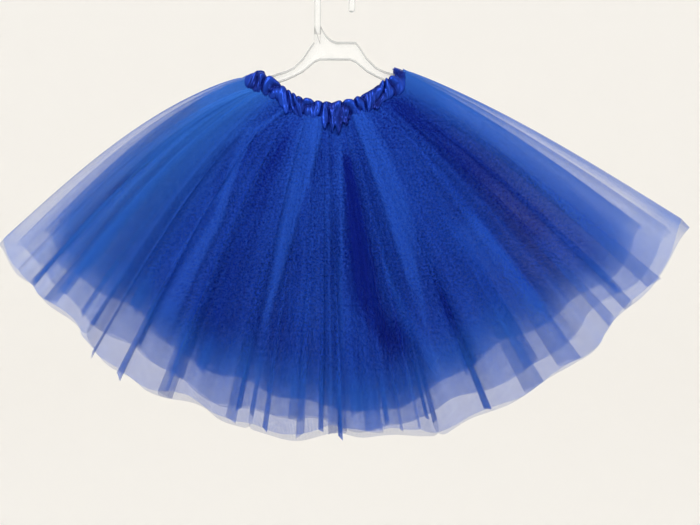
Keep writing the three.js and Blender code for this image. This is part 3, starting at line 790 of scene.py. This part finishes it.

# Laid panels of the front: (distance from the band, place of the sharp edge, width to the soft one).
# The painted light and shade of a panel is lighter above 0 and darker below, sharp is 1 for a sharp right
# edge and -1 for a left one,
# 0 for none, rise is how far the panel stands out, thin is the share of the net that parts there
panels = [
    dict(path=[(0, 0.3, 0.02), (48, 0.255, 0.045), (107, 0.285, 0.035), (150, 0.303, 0.026),
               (212, 0.3, 0.035), (280, 0.3, 0.045)], tone=0.34, sharp=1, rise=2.5, until=300),
    dict(path=[(112, 0.272, 0.01), (153, 0.256, 0.01), (182, 0.264, 0.012), (226, 0.25, 0.014)],
         tone=0.24, sharp=0, rise=1, start=108, until=240),
    dict(path=[(10, 0.24, 0.07), (80, 0.2, 0.06), (160, 0.21, 0.055), (300, 0.215, 0.06)],
         tone=0.18, sharp=1, rise=1.5, start=40, until=300),
    dict(path=[(60, 0.15, 0.04), (130, 0.16, 0.05), (300, 0.17, 0.04)], tone=-0.28, sharp=0, rise=-2,
         start=40, until=290),
    dict(path=[(0, 0.525, 0.14), (100, 0.468, 0.055), (187, 0.45, 0.026), (240, 0.44, 0.016)],
         tone=0.36, sharp=1, rise=3, until=260),
    dict(path=[(0, 0.69, 0.1), (64, 0.69, 0.085), (140, 0.69, 0.062), (205, 0.69, 0.02)],
         tone=0.3, sharp=-1, rise=3, until=225),
    dict(path=[(0, 0.61, 0.012), (100, 0.582, 0.01), (178, 0.568, 0.01), (330, 0.557, 0.01)],
         tone=0.26, sharp=0, rise=1.2, start=20, until=350),
    dict(path=[(60, 0.617, 0.03), (143, 0.613, 0.045), (214, 0.615, 0.05), (268, 0.645, 0.035),
               (330, 0.655, 0.02)],
         tone=-0.6, sharp=0, rise=-2.5, start=40, until=285),
    dict(path=[(190, 0.655, 0.016), (248, 0.668, 0.02), (282, 0.682, 0.022), (330, 0.69, 0.02)],
         tone=0.22, sharp=-1, rise=1.5, start=170, until=325),
    dict(path=[(176, 0.712, 0.012), (240, 0.697, 0.012), (300, 0.69, 0.01)], tone=0.3, sharp=-1, rise=1,
         start=172, until=270),
    dict(path=[(90, 0.853, 0.06), (160, 0.85, 0.07), (230, 0.853, 0.06), (300, 0.853, 0.05)],
         tone=0.3, sharp=1, rise=3, start=170, until=320),
    dict(path=[(0, 0.91, 0.07), (120, 0.91, 0.06), (260, 0.9, 0.05)], tone=-0.34, sharp=0, rise=-2,
         start=0, until=250),
    dict(path=[(0, 0.6, 0.09), (150, 0.52, 0.05), (320, 0.5, 0.06)], tone=0.12, sharp=0, rise=1,
         start=60, until=340),
    dict(path=[(20, 0.36, 0.04), (160, 0.36, 0.06), (300, 0.36, 0.06)], tone=-0.22, sharp=0, rise=-1.5,
         start=20, until=300),
    dict(path=[(230, 0.737, 0.012), (315, 0.738, 0.01), (370, 0.744, 0.009)], tone=-0.3, sharp=0, rise=-1,
         start=220, until=345),
    dict(path=[(0, 0.05, 0.08), (150, 0.07, 0.11), (330, 0.09, 0.11)], tone=0.45, sharp=0, rise=0,
         start=20, until=330),
    dict(path=[(50, 0.03, 0.008), (110, 0.036, 0.02), (170, 0.038, 0.01)], tone=0.3, sharp=-1, rise=0.5,
         start=55, until=160, thin=0.86),
    dict(path=[(140, 0.098, 0.006), (190, 0.09, 0.018), (225, 0.089, 0.008)], tone=0.3, sharp=1, rise=0.5,
         start=140, until=220, thin=0.84),
    dict(path=[(240, 0.052, 0.006), (300, 0.05, 0.012), (340, 0.046, 0.01)], tone=0.3, sharp=1, rise=0.5,
         start=235, until=335, thin=0.6),
    dict(path=[(120, 0.0, 0.02), (200, 0.014, 0.024), (330, 0.018, 0.024)], tone=0.3, sharp=0, rise=0,
         start=120, until=335, thin=0.5),
    dict(path=[(30, 0.05, 0.02), (150, 0.07, 0.022), (330, 0.075, 0.025)], tone=0.4, sharp=1, rise=1.5,
         start=40, until=330),
    dict(path=[(60, 0.088, 0.02), (150, 0.098, 0.024), (330, 0.11, 0.014)], tone=0.38, sharp=-1, rise=1,
         start=90, until=270),
    dict(path=[(30, 0.08, 0.008), (180, 0.084, 0.008), (330, 0.088, 0.008)], tone=-0.4, sharp=0, rise=-1,
         start=30, until=300),
    dict(path=[(100, 0.03, 0.012), (330, 0.035, 0.012)], tone=0.4, sharp=1, rise=1, start=120, until=340),
    dict(path=[(50, 0.035, 0.05), (125, 0.045, 0.075), (220, 0.06, 0.06)], tone=0.12, sharp=0, rise=0,
         start=50, until=250, thin=0.5),
    dict(path=[(30, 0.965, 0.03), (200, 0.95, 0.03), (360, 0.94, 0.03)], tone=0.3, sharp=-1, rise=1.5,
         start=30, until=350),
]
# How a panel fades: in shares of its width at the sharp edge, at the soft one and, without a sharp
# edge, to both sides; in millimetres at its start and its end
panelRuns = {
    "sharp": (-0.06, 0.04),
    "soft": (0.5, 1.1),
    "bell": 0.55,
    "start": (-12, 18),
    "end": (-30, 15),
}
# Where highlight lines are painted along small creases: place, distance, and how far they reach both ways
glints = [
    dict(at=0.765, distance=255, reachAt=0.045, reachDown=45, size=0.45),
    dict(at=0.845, distance=110, reachAt=0.02, reachDown=40, size=0.35),
    dict(at=0.46, distance=80, reachAt=0.08, reachDown=60, size=0.18),
    dict(at=0.72, distance=90, reachAt=0.05, reachDown=60, size=0.22),
    dict(at=0.56, distance=250, reachAt=0.06, reachDown=60, size=0.2),
]


def panelFields(at, distance):
    # Painted light and shade and rise of the laid panels, and how much of the net is missing in them
    tone, rise, thin = np.zeros((3, *distance.shape))
    for panel in panels:
        far, places, widths = zip(*panel["path"])
        edge, width = np.interp(distance, far, places), np.interp(distance, far, widths)
        if panel["sharp"]:
            inwards = (edge - at) / width * panel["sharp"]
            share = smoothStep(inwards, *panelRuns["sharp"])
            share = share * (1 - smoothStep(inwards, *panelRuns["soft"]))
        else:
            share = np.exp(-(((at - edge) / (width * panelRuns["bell"])) ** 2))
        # Without a start a panel comes out from under the casing
        starts = smoothStep(distance - panel.get("start", -20), *panelRuns["start"])
        ends = starts * (1 - smoothStep(distance - panel["until"], *panelRuns["end"]))
        tone += panel["tone"] * share * ends
        rise += panel["rise"] * share * ends
        thin = np.maximum(thin, panel.get("thin", 0) * share * ends)
    return tone, rise, thin


def glintField(at, distance):
    size = np.zeros_like(distance)
    for patch in glints:
        size += patch["size"] * np.exp(-(((at - patch["at"]) / patch["reachAt"]) ** 2)
                                       - ((distance - patch["distance"]) / patch["reachDown"]) ** 2)
    return size


def foldWalk(fold, side):
    # Columns across one fold: (place at the band, place at the hem, depth shift, extra length)
    halfBand = fold["band"] / tulle["bandLength"][side] / 2
    halfHem = fold["hem"] / tulle["hemWidth"][side] / 2
    reach = max(halfBand, halfHem) + tulle["foldMargin"]
    stops = [-1] + [1, -1] * fold["turns"] + [1]
    walk = []
    runs = len(stops) - 1
    for run in range(runs):
        first, last = run == 0, run == runs - 1
        steps = tulle["stepsAtEnds"] if first or last else tulle["stepsInFold"]
        for step in range(steps):
            t = step / steps
            eased = (1 - math.cos(math.pi * t)) / 2
            a, b = stops[run], stops[run + 1]
            if first:
                shift, weight = t * t, t ** 3
                turned = math.sin(t * math.pi / 2)
                place = [-reach + (half + reach) * turned for half in (halfBand, halfHem)]
            elif last:
                shift, weight = -((1 - t) ** 2), (1 - t) ** 3
                turned = math.cos(t * math.pi / 2)
                place = [reach - (half + reach) * turned for half in (halfBand, halfHem)]
            else:
                share = (run - 1 + t) / (runs - 2)
                shift, weight = 1 - 2 * share, 1
                place = [half * (a + (b - a) * eased) for half in (halfBand, halfHem)]
            slant = (fold["lies"] * min(fold["hem"], tulle["slantWidth"]) * tulle["slant"]
                     * (a + (b - a) * eased))
            walk.append((fold["at"] + place[0], fold["at"] + place[1], shift * fold["lies"],
                         weight * (fold["drop"] + slant)))
    return fold["at"] - reach, fold["at"] + reach, walk


def clothColumns(name, side):
    columns, start = [], 0.0
    step = 1 / tulle["columns"]
    for fold in tulle["folds"][name, side]:
        left, right, walk = foldWalk(fold, side)
        count = max(int(round((left - start) / step)), 1)
        for i in range(count):
            at = start + (left - start) * i / count
            columns.append((at, at, 0, 0))
        columns += walk
        start = right
    count = max(int(round((1 - start) / step)), 1)
    for i in range(count + 1):
        at = start + (1 - start) * i / count
        columns.append((at, at, 0, 0))
    return np.array(columns)


def withRipples(lift, layer, side, at, atHem, distance, reach):
    # Ripples follow the cloth, so every run of a fold uses up its own width
    usedUp = np.abs(np.diff(atHem[:, 0], prepend=atHem[0, 0])) * tulle["hemWidth"][side]
    cloth = np.cumsum(usedUp)[:, None]
    chance = np.random.default_rng(tulle["rippleSeed"] + layer * 5 + (side < 0))
    for ripple in tulle["ripples"]:
        fade = np.exp(-((distance / ripple["reach"]) ** 2))
        grown = np.minimum(tulle["rippleAtBand"] + tulle["rippleGrowth"] * reach, 1)
        size = ripple["height"] * grown * fade
        total = 0
        for _ in range(tulle["rippleWaves"]):
            turns = ripple["count"] * chance.uniform(*tulle["rippleSpread"]) / tulle["hemWidth"][side]
            drift = chance.uniform(-tulle["rippleDrift"], tulle["rippleDrift"]) * reach
            total = total + np.sin(2 * np.pi * turns * cloth + chance.uniform(0, 6.3) + drift)
        long, short = tulle["calmRuns"]
        beat = np.sin(cloth / long + layer + chance.uniform(0, 6.3)) * np.sin(cloth / short + side)
        calm = 1 - tulle["calmShare"] + tulle["calmShare"] * beat
        lift = lift + total * 2 / tulle["rippleWaves"] * size * calm * pastFold(at) ** 0.5
    return lift


def pliesOfNet(layer, hand, toHem, thin):
    # How many plies lie over each other, without the gathers
    row = layers[layer]
    closed = smoothStep(toHem, 0, row["plyRun"])
    plies = row["hemPlies"] + (row["plies"] - row["hemPlies"]) * closed
    inside = smoothStep(hand, *tulle["thinLeft"]) * smoothStep(1 - hand, *tulle["thinRight"])
    plies = plies * (row["sidePlies"] + (1 - row["sidePlies"]) * inside) * (1 - thin)
    for more, fromLine in zip(tulle["edgePlies"], (hand, 1 - hand)):
        plies = plies * (1 + more * np.exp(-((fromLine / tulle["edgeWidth"]) ** 2)))
    return plies


def backlitShare(hand, toCore):
    # How much painted light there is, the lighter colour of single plies that let the light through;
    # toCore is the way to the innermost hem
    lit = smoothStep(hand, *tulle["litLeft"]) * smoothStep(1 - hand, *tulle["litRight"])
    backlitAtHem = tulle["backlitHem"] * (1 - smoothStep(toCore, *tulle["backlitRun"]))
    backlitAtSide = tulle["backlitSide"] * (1 - lit)
    return 1 - (1 - backlitAtHem) * (1 - backlitAtSide)


def tulleSide(layer, side):
    # Points of one side, its smooth form, the distance from the band, and four values for each point
    name = layers[layer]["name"]
    columns = clothColumns(name, side)
    shorter = layers[layer]["front" if side > 0 else "back"]
    share = np.linspace(0, 1, tulle["rows"]) ** tulle["rowGrowth"]
    atBand, atHem, shift, drop = (columns[:, k][:, None] for k in range(4))
    at = np.clip(atBand + (atHem - atBand) * share ** tulle["foldOpening"], 0, 1)
    full = along(fan["sections"], "length", at)
    length = full - shorter + hemUnevenness(atHem, layer) + drop
    distance = share * (length + tulle["tuck"]) - tulle["tuck"]
    reach = np.clip(distance / full, 0, 1.1)
    places, heights = pleatWave(side)
    wave = smoothCurve(places, heights, at)
    depth = fan["pleatDepthAtBand"]
    depth = depth + (fan["pleatDepth"][side] - depth) * reach ** fan["pleatGrowth"]
    pleatShare = fan["pleatShareAtFold"] + (1 - fan["pleatShareAtFold"]) * pastFold(at)
    lift = depth * wave * pleatShare * tulle["pleatShare"] + broadRise(at, side) * reach * pastFold(at)
    atStart = tulle["foldDepthAtBand"]
    lift = lift + shift * tulle["foldDepth"] * (atStart + (1 - atStart) * reach)
    lift = withRipples(lift, layer, side, at, atHem, distance, reach)
    # The panels lie over all layers of the front, and more softly, the other way round, over the back
    hand, share = (at, 1) if side > 0 else (1 - at, tulle["backShare"])
    tone, rise, thin = panelFields(hand, distance)
    lift = lift + rise * share * pastFold(at)
    toCore = full - layers[-1]["front"] + hemUnevenness(at, len(layers) - 1) - distance
    # Painted light and shade, painted crease highlights, plies of net, and painted light through single
    # plies
    fields = np.stack([
        tone * share * layers[layer]["shadingShare"],
        glintField(hand, distance) * share,
        pliesOfNet(layer, hand, length - drop - distance, thin),
        backlitShare(hand, toCore),
    ], -1)
    smooth = fanPoint(at, distance, side, layer)
    points = smooth + fanOut(at, distance, side) * lift[..., None]
    onLine = (at <= 0) | (at >= 1)
    ahead = np.maximum(-side * points[..., 1], tulle["lineClearance"])
    points[..., 1] = -side * np.where(onLine, 0, ahead)
    return points, smooth, distance, fields


def neighbourSpacing(points):
    # Half the way from each column's left neighbour to its right one, round the loop
    step = np.linalg.norm(np.roll(points, -1, 0) - points, axis=-1)
    return (step + np.roll(step, 1, 0)) / 2


def evened(values, count):
    total = sum(np.roll(values, k, 0) for k in range(-count, count + 1))
    return total / (2 * count + 1)


def makeTulleLayer(layer):
    name = layers[layer]["name"]
    frontNet, backNet = tulleSide(layer, front), tulleSide(layer, back)
    # The loop runs over the front to the right side line and home over the back
    points, smooth, distance, fields = (
        np.concatenate([a, b[::-1][1:-1]]) for a, b in zip(frontNet, backNet))
    columns, rows = distance.shape
    flatWidth = layers[layer]["flatWidth"]
    used = neighbourSpacing(points[:, -1])
    used = used * flatWidth / used.sum()
    cloth = np.repeat((np.cumsum(used) - used[0])[:, None], rows, 1)
    # How many plies of net lie over each other: the gathers too fine for the mesh, and the steep
    # flanks of the others, which stand edge on
    fine = evened(used[:, None] / np.maximum(neighbourSpacing(points), 0.05), 3)
    steep = used[:, None] / np.maximum(evened(neighbourSpacing(smooth), 1), 0.3)
    steep = np.clip(steep, *tulle["steepRange"])
    gather = fine ** (1 - tulle["steepShare"]) * steep ** tulle["steepShare"]
    tone, glint, plies, backlit = np.moveaxis(fields, -1, 0)
    faces = gridFaces(columns, rows)
    obj = meshObject(f"tulle_{name}", points.reshape(-1, 3), faces, tulleMaterial)
    clothMap(obj, cloth, distance, roundTrip=flatWidth)
    pointValues(obj, "gather", np.clip(gather * plies, *tulle["gatherRange"]))
    # Painted light and shade, painted crease highlights and painted light through single plies go to the
    # material
    pointValues(obj, "tone", tone)
    pointValues(obj, "glint", glint)
    pointValues(obj, "backlit", backlit)
    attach(obj, "root")
    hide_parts(f"tulle_{name}_front", f"tulle_{name}_back")


print("tulle")
for layer in range(len(layers)):
    makeTulleLayer(layer)


# Waistband: a satin casing bunched over its elastic

casing = {
    "columns": 420,  # on each side
    "cutWidth": 430,  # of each half before it is bunched
    "bunches": {front: 14, back: 12},
    "outerRows": 21,
    "innerRows": 12,
    "puffOut": 6.2,
    "puffIn": 0.8,
    "puffMiddle": 0.35,  # a fold higher than this stands out, a lower one goes in
    "bunchRound": 0.75,  # below 1 the creases are sharper than the bunches
    "bunchSize": (0.2, 1.9, 1.1, 5),  # unevenness: size, turn, turn across, times the seed
    "lean": [(0.5, 1.3, 1, 1), (0.16, 3.1, 3, 2)],  # size, turn, times the seed, power across
    "wander": [(0.38, 2.3, 0.9, 1), (0.1, 4.9, -2.4, 2)],  # size, turn, turn across, times the seed
    "seeds": (0.6, 2.2),  # of the large bunches and the fine ones
    "fineBunches": 2.3,  # for each large one
    "fineAcross": 1.3,
    "fineShare": 0.2,
    "halfBody": 2.0,
    "edgeBody": 0.35,  # share of it left at both edges
    "domePower": 3.2,
    "turnPuff": 0.5,  # less puff where the band turns over an arm, and less depth inside
    "turnInside": 0.45,
    "topRipple": 3.6,
    "topRun": (0.3, 1),
    "topMiddle": 0.6,
    "lowRipple": 3,
    "lowRun": (0.4, 1),
    "lowMiddle": 0.5,
    # Painted light and shade of the satin: an even level, and darker in the creases between the bunches
    "tone": 0.3,
    "creaseShade": -1.0,
    "endDraw": 9,
    "endPlaces": (0.93, 0.985),
    "frillRun": (-1, -0.55),
    "frillDepth": 0.9,  # for each mm that it hangs, up to the next value
    "frillFull": 4,
    "lineClearance": 0.1,
    # Loose satin below the seam of the front: place, width and how far it hangs
    "frills": [dict(at=0.535, width=0.016, hang=9), dict(at=0.575, width=0.012, hang=14),
               dict(at=0.61, width=0.015, hang=17), dict(at=0.65, width=0.012, hang=8),
               dict(at=0.3, width=0.014, hang=5), dict(at=0.83, width=0.02, hang=5)],
}


def bunch(place, across, seed):
    # Rounded bunches between sharp creases, whose lines lean and wander over the width of the band
    lean = sum(size * np.sin(turn * place + seed * times) * across ** power
               for size, turn, times, power in casing["lean"])
    wander = sum(size * np.sin(turn * place + turnAcross * across + seed * times)
                 for size, turn, turnAcross, times in casing["wander"])
    size, turn, turnAcross, times = casing["bunchSize"]
    height = 1 - size + size * np.sin(turn * place + turnAcross * across + seed * times)
    return height * np.abs(np.sin(np.pi * (place + lean + wander))) ** casing["bunchRound"]


def casingSide(side):
    at = np.linspace(0, 1, casing["columns"])[:, None]
    # Across the section: outer face from its lower edge up to the top, then down the inner face
    outer = np.linspace(-1, 1, casing["outerRows"])
    inner = np.linspace(1, -1, casing["innerRows"])[1:]
    height = np.concatenate([outer, inner])[None, :]
    face = np.concatenate([np.ones(len(outer)), -np.ones(len(inner))])[None, :]
    middle, down, out = bandFrame(at[:, 0], side)
    middle, down, out = middle[:, None], down[:, None], out[:, None]
    place = at * casing["bunches"][side]
    coarseSeed, fineSeed = casing["seeds"]
    coarse = bunch(place, height, coarseSeed + side)
    fine = bunch(place * casing["fineBunches"], height * casing["fineAcross"], fineSeed + side)
    folds = (1 - casing["fineShare"]) * coarse + casing["fineShare"] * fine
    dome = np.sqrt(np.clip(1 - np.abs(height) ** casing["domePower"], 0, 1))
    puff = np.where(face > 0, casing["puffOut"], casing["puffIn"]) * (folds - casing["puffMiddle"])
    turn = 1 - pastFold(at)
    body = casing["halfBody"] * (casing["edgeBody"] + (1 - casing["edgeBody"]) * dome)
    depth = face * (body + puff * dome * (1 - casing["turnPuff"] * turn))
    depth = depth * (1 - casing["turnInside"] * turn * (face < 0))
    topRise = casing["topRipple"] * (coarse - casing["topMiddle"])
    edge = topRise * smoothStep(height, *casing["topRun"]) * (1 - turn)
    hang = 0
    if side > 0:
        for frill in casing["frills"]:
            hang = hang + frill["hang"] * np.exp(-(((at - frill["at"]) / frill["width"]) ** 2))
    hang = hang * (1 - smoothStep(height, *casing["frillRun"])) * (face > 0)
    depth = depth + np.minimum(hang, casing["frillFull"]) * casing["frillDepth"]
    lowRise = casing["lowRipple"] * (coarse - casing["lowMiddle"])
    edge = edge - lowRise * smoothStep(-height, *casing["lowRun"]) * (1 - turn)
    # The top edge draws in where the band turns on its side at the right end
    drawn = casing["endDraw"] * smoothStep(at, *casing["endPlaces"]) * smoothStep(height, 0, 1)
    reach = height * band["width"] / 2 + edge - hang - drawn
    points = middle - down * reach[..., None] + out * depth[..., None]
    onLine = (at <= 0) | (at >= 1)
    ahead = np.maximum(-side * points[..., 1], casing["lineClearance"])
    points[..., 1] = -side * np.where(onLine, 0, ahead)
    across = at * casing["cutWidth"] + 0 * height
    alongSection = np.cumsum(np.abs(np.diff(height[0], prepend=-1))) * band["width"] / 2
    # Painted shade, darker in the creases between the bunches
    tone = casing["creaseShade"] * (1 - folds) + casing["tone"]
    return points, across, alongSection[None, :] + 0 * at, tone + 0 * at


def makeWaistband():
    frontCloth, backCloth = casingSide(front), casingSide(back)
    roundTrip = casing["cutWidth"] * 2
    points, across, alongSection, tone = (
        np.concatenate([a, b[::-1][1:-1]]) for a, b in zip(
            frontCloth, (backCloth[0], roundTrip - backCloth[1], backCloth[2], backCloth[3])))
    columns, rows = across.shape
    quads = gridFaces(columns, rows)
    # The section closes at the bottom
    i = np.arange(columns)
    n = (i + 1) % columns
    shut = np.stack([i * rows + rows - 1, i * rows, n * rows, n * rows + rows - 1], -1)
    obj = meshObject("waistband", points.reshape(-1, 3), np.concatenate([quads, shut]), satinMaterial)
    clothMap(obj, across, alongSection, roundTrip=roundTrip)
    pointValues(obj, "tone", tone)
    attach(obj, "root")
    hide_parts("waistband_front", "waistband_back")


print("waistband")
makeWaistband()


# Hanger

def bezier(a, b, c, steps):
    t = np.linspace(0, 1, steps)[:, None]
    a, b, c = (np.array(p, float) for p in (a, b, c))
    return ((1 - t) ** 2 * a + 2 * t * (1 - t) * b + t * t * c).tolist()


def plateEdges():
    # Places across the hanger with its top and lower edge: (x, top, bottom)
    arm, half = hanger["arm"], hanger["hookWidth"] / 2
    stem = -hanger["hookRadius"] - half
    tops = [(-x, top) for x, top, _ in arm[::-1]]
    tops += [(stem - half - 0.4, arm[0][1]), (stem - half, hanger["neckTop"])]
    slope = bezier((stem + half, hanger["neckTop"]), (stem + half * 3, arm[0][1] + 1),
                   (3, arm[0][1]), 8)
    tops += [tuple(point) for point in slope]
    tops += [(x, top) for x, top, _ in arm]
    tops.sort()
    topX, topZ = np.array(tops).T
    lows = sorted([(-x, low) for x, _, low in arm] + [(x, low) for x, _, low in arm])
    lowX, lowZ = np.array(lows).T
    reach, tip = arm[-1][0], hanger["tipRound"]
    places = np.union1d(np.linspace(-reach, reach, hanger["plateColumns"]), topX[np.abs(topX) < reach])
    rows = [(x, float(np.interp(x, topX, topZ)), float(np.interp(x, lowX, lowZ))) for x in places]
    # Both tips run out in a rounded end
    for side in (-1, 1):
        _, top, low = rows[0] if side < 0 else rows[-1]
        for step in range(1, hanger["tipSteps"] + 1):
            angle = math.pi / 2 * step / (hanger["tipSteps"] + 0.2)  # stops just short of a point
            shrink, out = math.cos(angle), math.sin(angle)
            middle, half = (top + low) / 2 - out * hanger["tipSag"], (top - low) / 2 * shrink
            row = (side * (reach + tip * out), middle + half, middle - half)
            rows.insert(0, row) if side < 0 else rows.append(row)
    return rows


def makePlate():
    half, web, rim = hanger["rimDepth"] / 2, hanger["webDepth"] / 2, hanger["rimHeight"]
    # One side of the section: (share of the rim's height from the edge, y, how much it is an edge, which
    # sets its painted grey)
    soft = half - hanger["edgeRound"]
    oneSide = [(0, 0, 1), (0.06, soft, 1), (0.3, half, 0.55), (0.7, half, 0.3), (0.92, soft, 0.75),
               (1, web + hanger["webRound"], 0.8), (1.2, web, 0)]
    points, edges = [], []
    rows = plateEdges()
    for x, top, low in rows:
        scale = min(rim, (top - low) / hanger["rimSteps"])
        thin = min((top - low) / (2 * rim), 1) ** 0.5
        ring = [(top - share * scale, y * thin, edge) for share, y, edge in oneSide]
        ring += [(low + share * scale, y * thin, edge) for share, y, edge in oneSide[::-1]]
        ring += [(z, -y, edge) for z, y, edge in ring[-2:0:-1]]
        points += [(x, y, z) for z, y, _ in ring]
        edges += [edge for _, _, edge in ring]
    return points, edges, len(rows), len(points) // len(rows)


def makeHook():
    rod = hanger["hookRadius"] + hanger["hookWidth"] / 2
    tipZ = -hanger["hookRadius"] - hanger["hookTipDrop"]
    stem = np.linspace(hanger["neckTop"] - hanger["stemInPlate"], -hanger["hookRadius"] - 1.5,
                       hanger["stemSteps"])
    path = [(-rod, z) for z in stem]
    path += [(rod * math.cos(a), -hanger["hookRadius"] + rod * math.sin(a))
             for a in np.linspace(math.pi, 0, hanger["crownSteps"])]
    path += [(rod + aside, tipZ + above) for aside, above in hanger["hookEnd"]]
    path = np.array(path)
    sizes = np.ones(len(path))
    onwards = unit(path[-1] - path[-2])
    turns = np.linspace(0, math.pi / 2, 7)[1:] * 0.97
    path = np.concatenate([path, path[-1] + onwards * (hanger["hookEndRound"] * np.sin(turns))[:, None]])
    sizes = np.concatenate([sizes, np.cos(turns)])
    run = unit(np.gradient(path, axis=0))
    side = np.stack([-run[:, 1], run[:, 0]], -1)
    sides = hanger["hookSides"]
    points, edges = [], []
    for centre, normal, size in zip(path, side, sizes):
        for k in range(sides):
            a = 2 * math.pi * k / sides
            wide = hanger["hookWidth"] / 2 * math.cos(a) * size
            points.append((centre[0] + normal[0] * wide, hanger["hookDepth"] / 2 * math.sin(a) * size,
                           centre[1] + normal[1] * wide))
            # Grey painted on the rod's sides as seen from the front, and on its end
            edges.append(abs(math.cos(a)) ** 5 if size > 0.9 else hanger["hookEndEdge"])
    return points, edges, len(path), sides


def tubeFaces(rings, sides, start):
    faces = []
    for i in range(rings - 1):
        for k in range(sides):
            m = (k + 1) % sides
            faces.append([start + i * sides + k, start + i * sides + m,
                          start + (i + 1) * sides + m, start + (i + 1) * sides + k])
    faces.append([start + k for k in range(sides)][::-1])
    faces.append([start + (rings - 1) * sides + k for k in range(sides)])
    return faces


def makeHanger():
    points, edges, faces = [], [], []
    for make in (makePlate, makeHook):
        newPoints, newEdges, rings, sides = make()
        faces += tubeFaces(rings, sides, len(points))
        points += newPoints
        edges += newEdges
    obj = meshObject("hanger_clear", points, faces, plasticMaterial)
    pointValues(obj, "edge", edges)
    facesOut(obj)
    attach(obj, "root")
    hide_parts("hanger")


def facesOut(obj):
    work = bmesh.new()
    work.from_mesh(obj.data)
    bmesh.ops.recalc_face_normals(work, faces=work.faces)
    work.to_mesh(obj.data)
    work.free()


print("hanger")
makeHanger()


# Studio: a pale floor that curves up into a round wall, a soft sky and two soft lamps

def makeStudio():
    profile = [(0, studio["floorHeight"]), (studio["floorRadius"], studio["floorHeight"])]
    bend = studio["wallRadius"] - studio["floorRadius"]
    for k in range(1, studio["bendSteps"] + 1):
        a = math.pi / 2 * k / studio["bendSteps"]
        profile.append((studio["floorRadius"] + bend * math.sin(a),
                        studio["floorHeight"] + bend * (1 - math.cos(a))))
    profile.append((studio["wallRadius"], studio["wallTop"]))
    turns = studio["wallSides"]
    points = [(r * math.cos(2 * math.pi * i / turns), r * math.sin(2 * math.pi * i / turns), z)
              for i in range(turns) for r, z in profile[1:]]
    rows = len(profile) - 1
    faces = gridFaces(turns, rows).tolist()
    faces.append([i * rows for i in range(turns)])
    material, _, _ = newMaterial("paleWall", studio["wallColour"], studio["wallRoughness"],
                                 Specular_IOR_Level=0.1)
    floor = meshObject("studioFloor", points, faces, material)
    world = bpy.data.worlds.new("sky")
    world.use_nodes = True
    world.node_tree.nodes["Background"].inputs["Color"].default_value = studio["skyColour"]
    world.node_tree.nodes["Background"].inputs["Strength"].default_value = studio["skyStrength"]
    scene.world = world
    for name in ("key", "fill"):
        lamp = bpy.data.lights.new(name, "AREA")
        lamp.size = studio[name + "Size"] * mm
        lamp.energy = studio[name + "Power"]
        obj = bpy.data.objects.new(name, lamp)
        obj.location = Vector(studio[name + "Place"]) * mm
        aim = Vector(studio["aim"]) * mm - obj.location
        obj.rotation_euler = aim.to_track_quat("-Z", "Y").to_euler()
        scene.collection.objects.link(obj)
    scene.view_settings.view_transform = "Standard"
    scene.cycles.transparent_max_bounces = 64
    scene.cycles.max_bounces = 12


print("studio")
makeStudio()
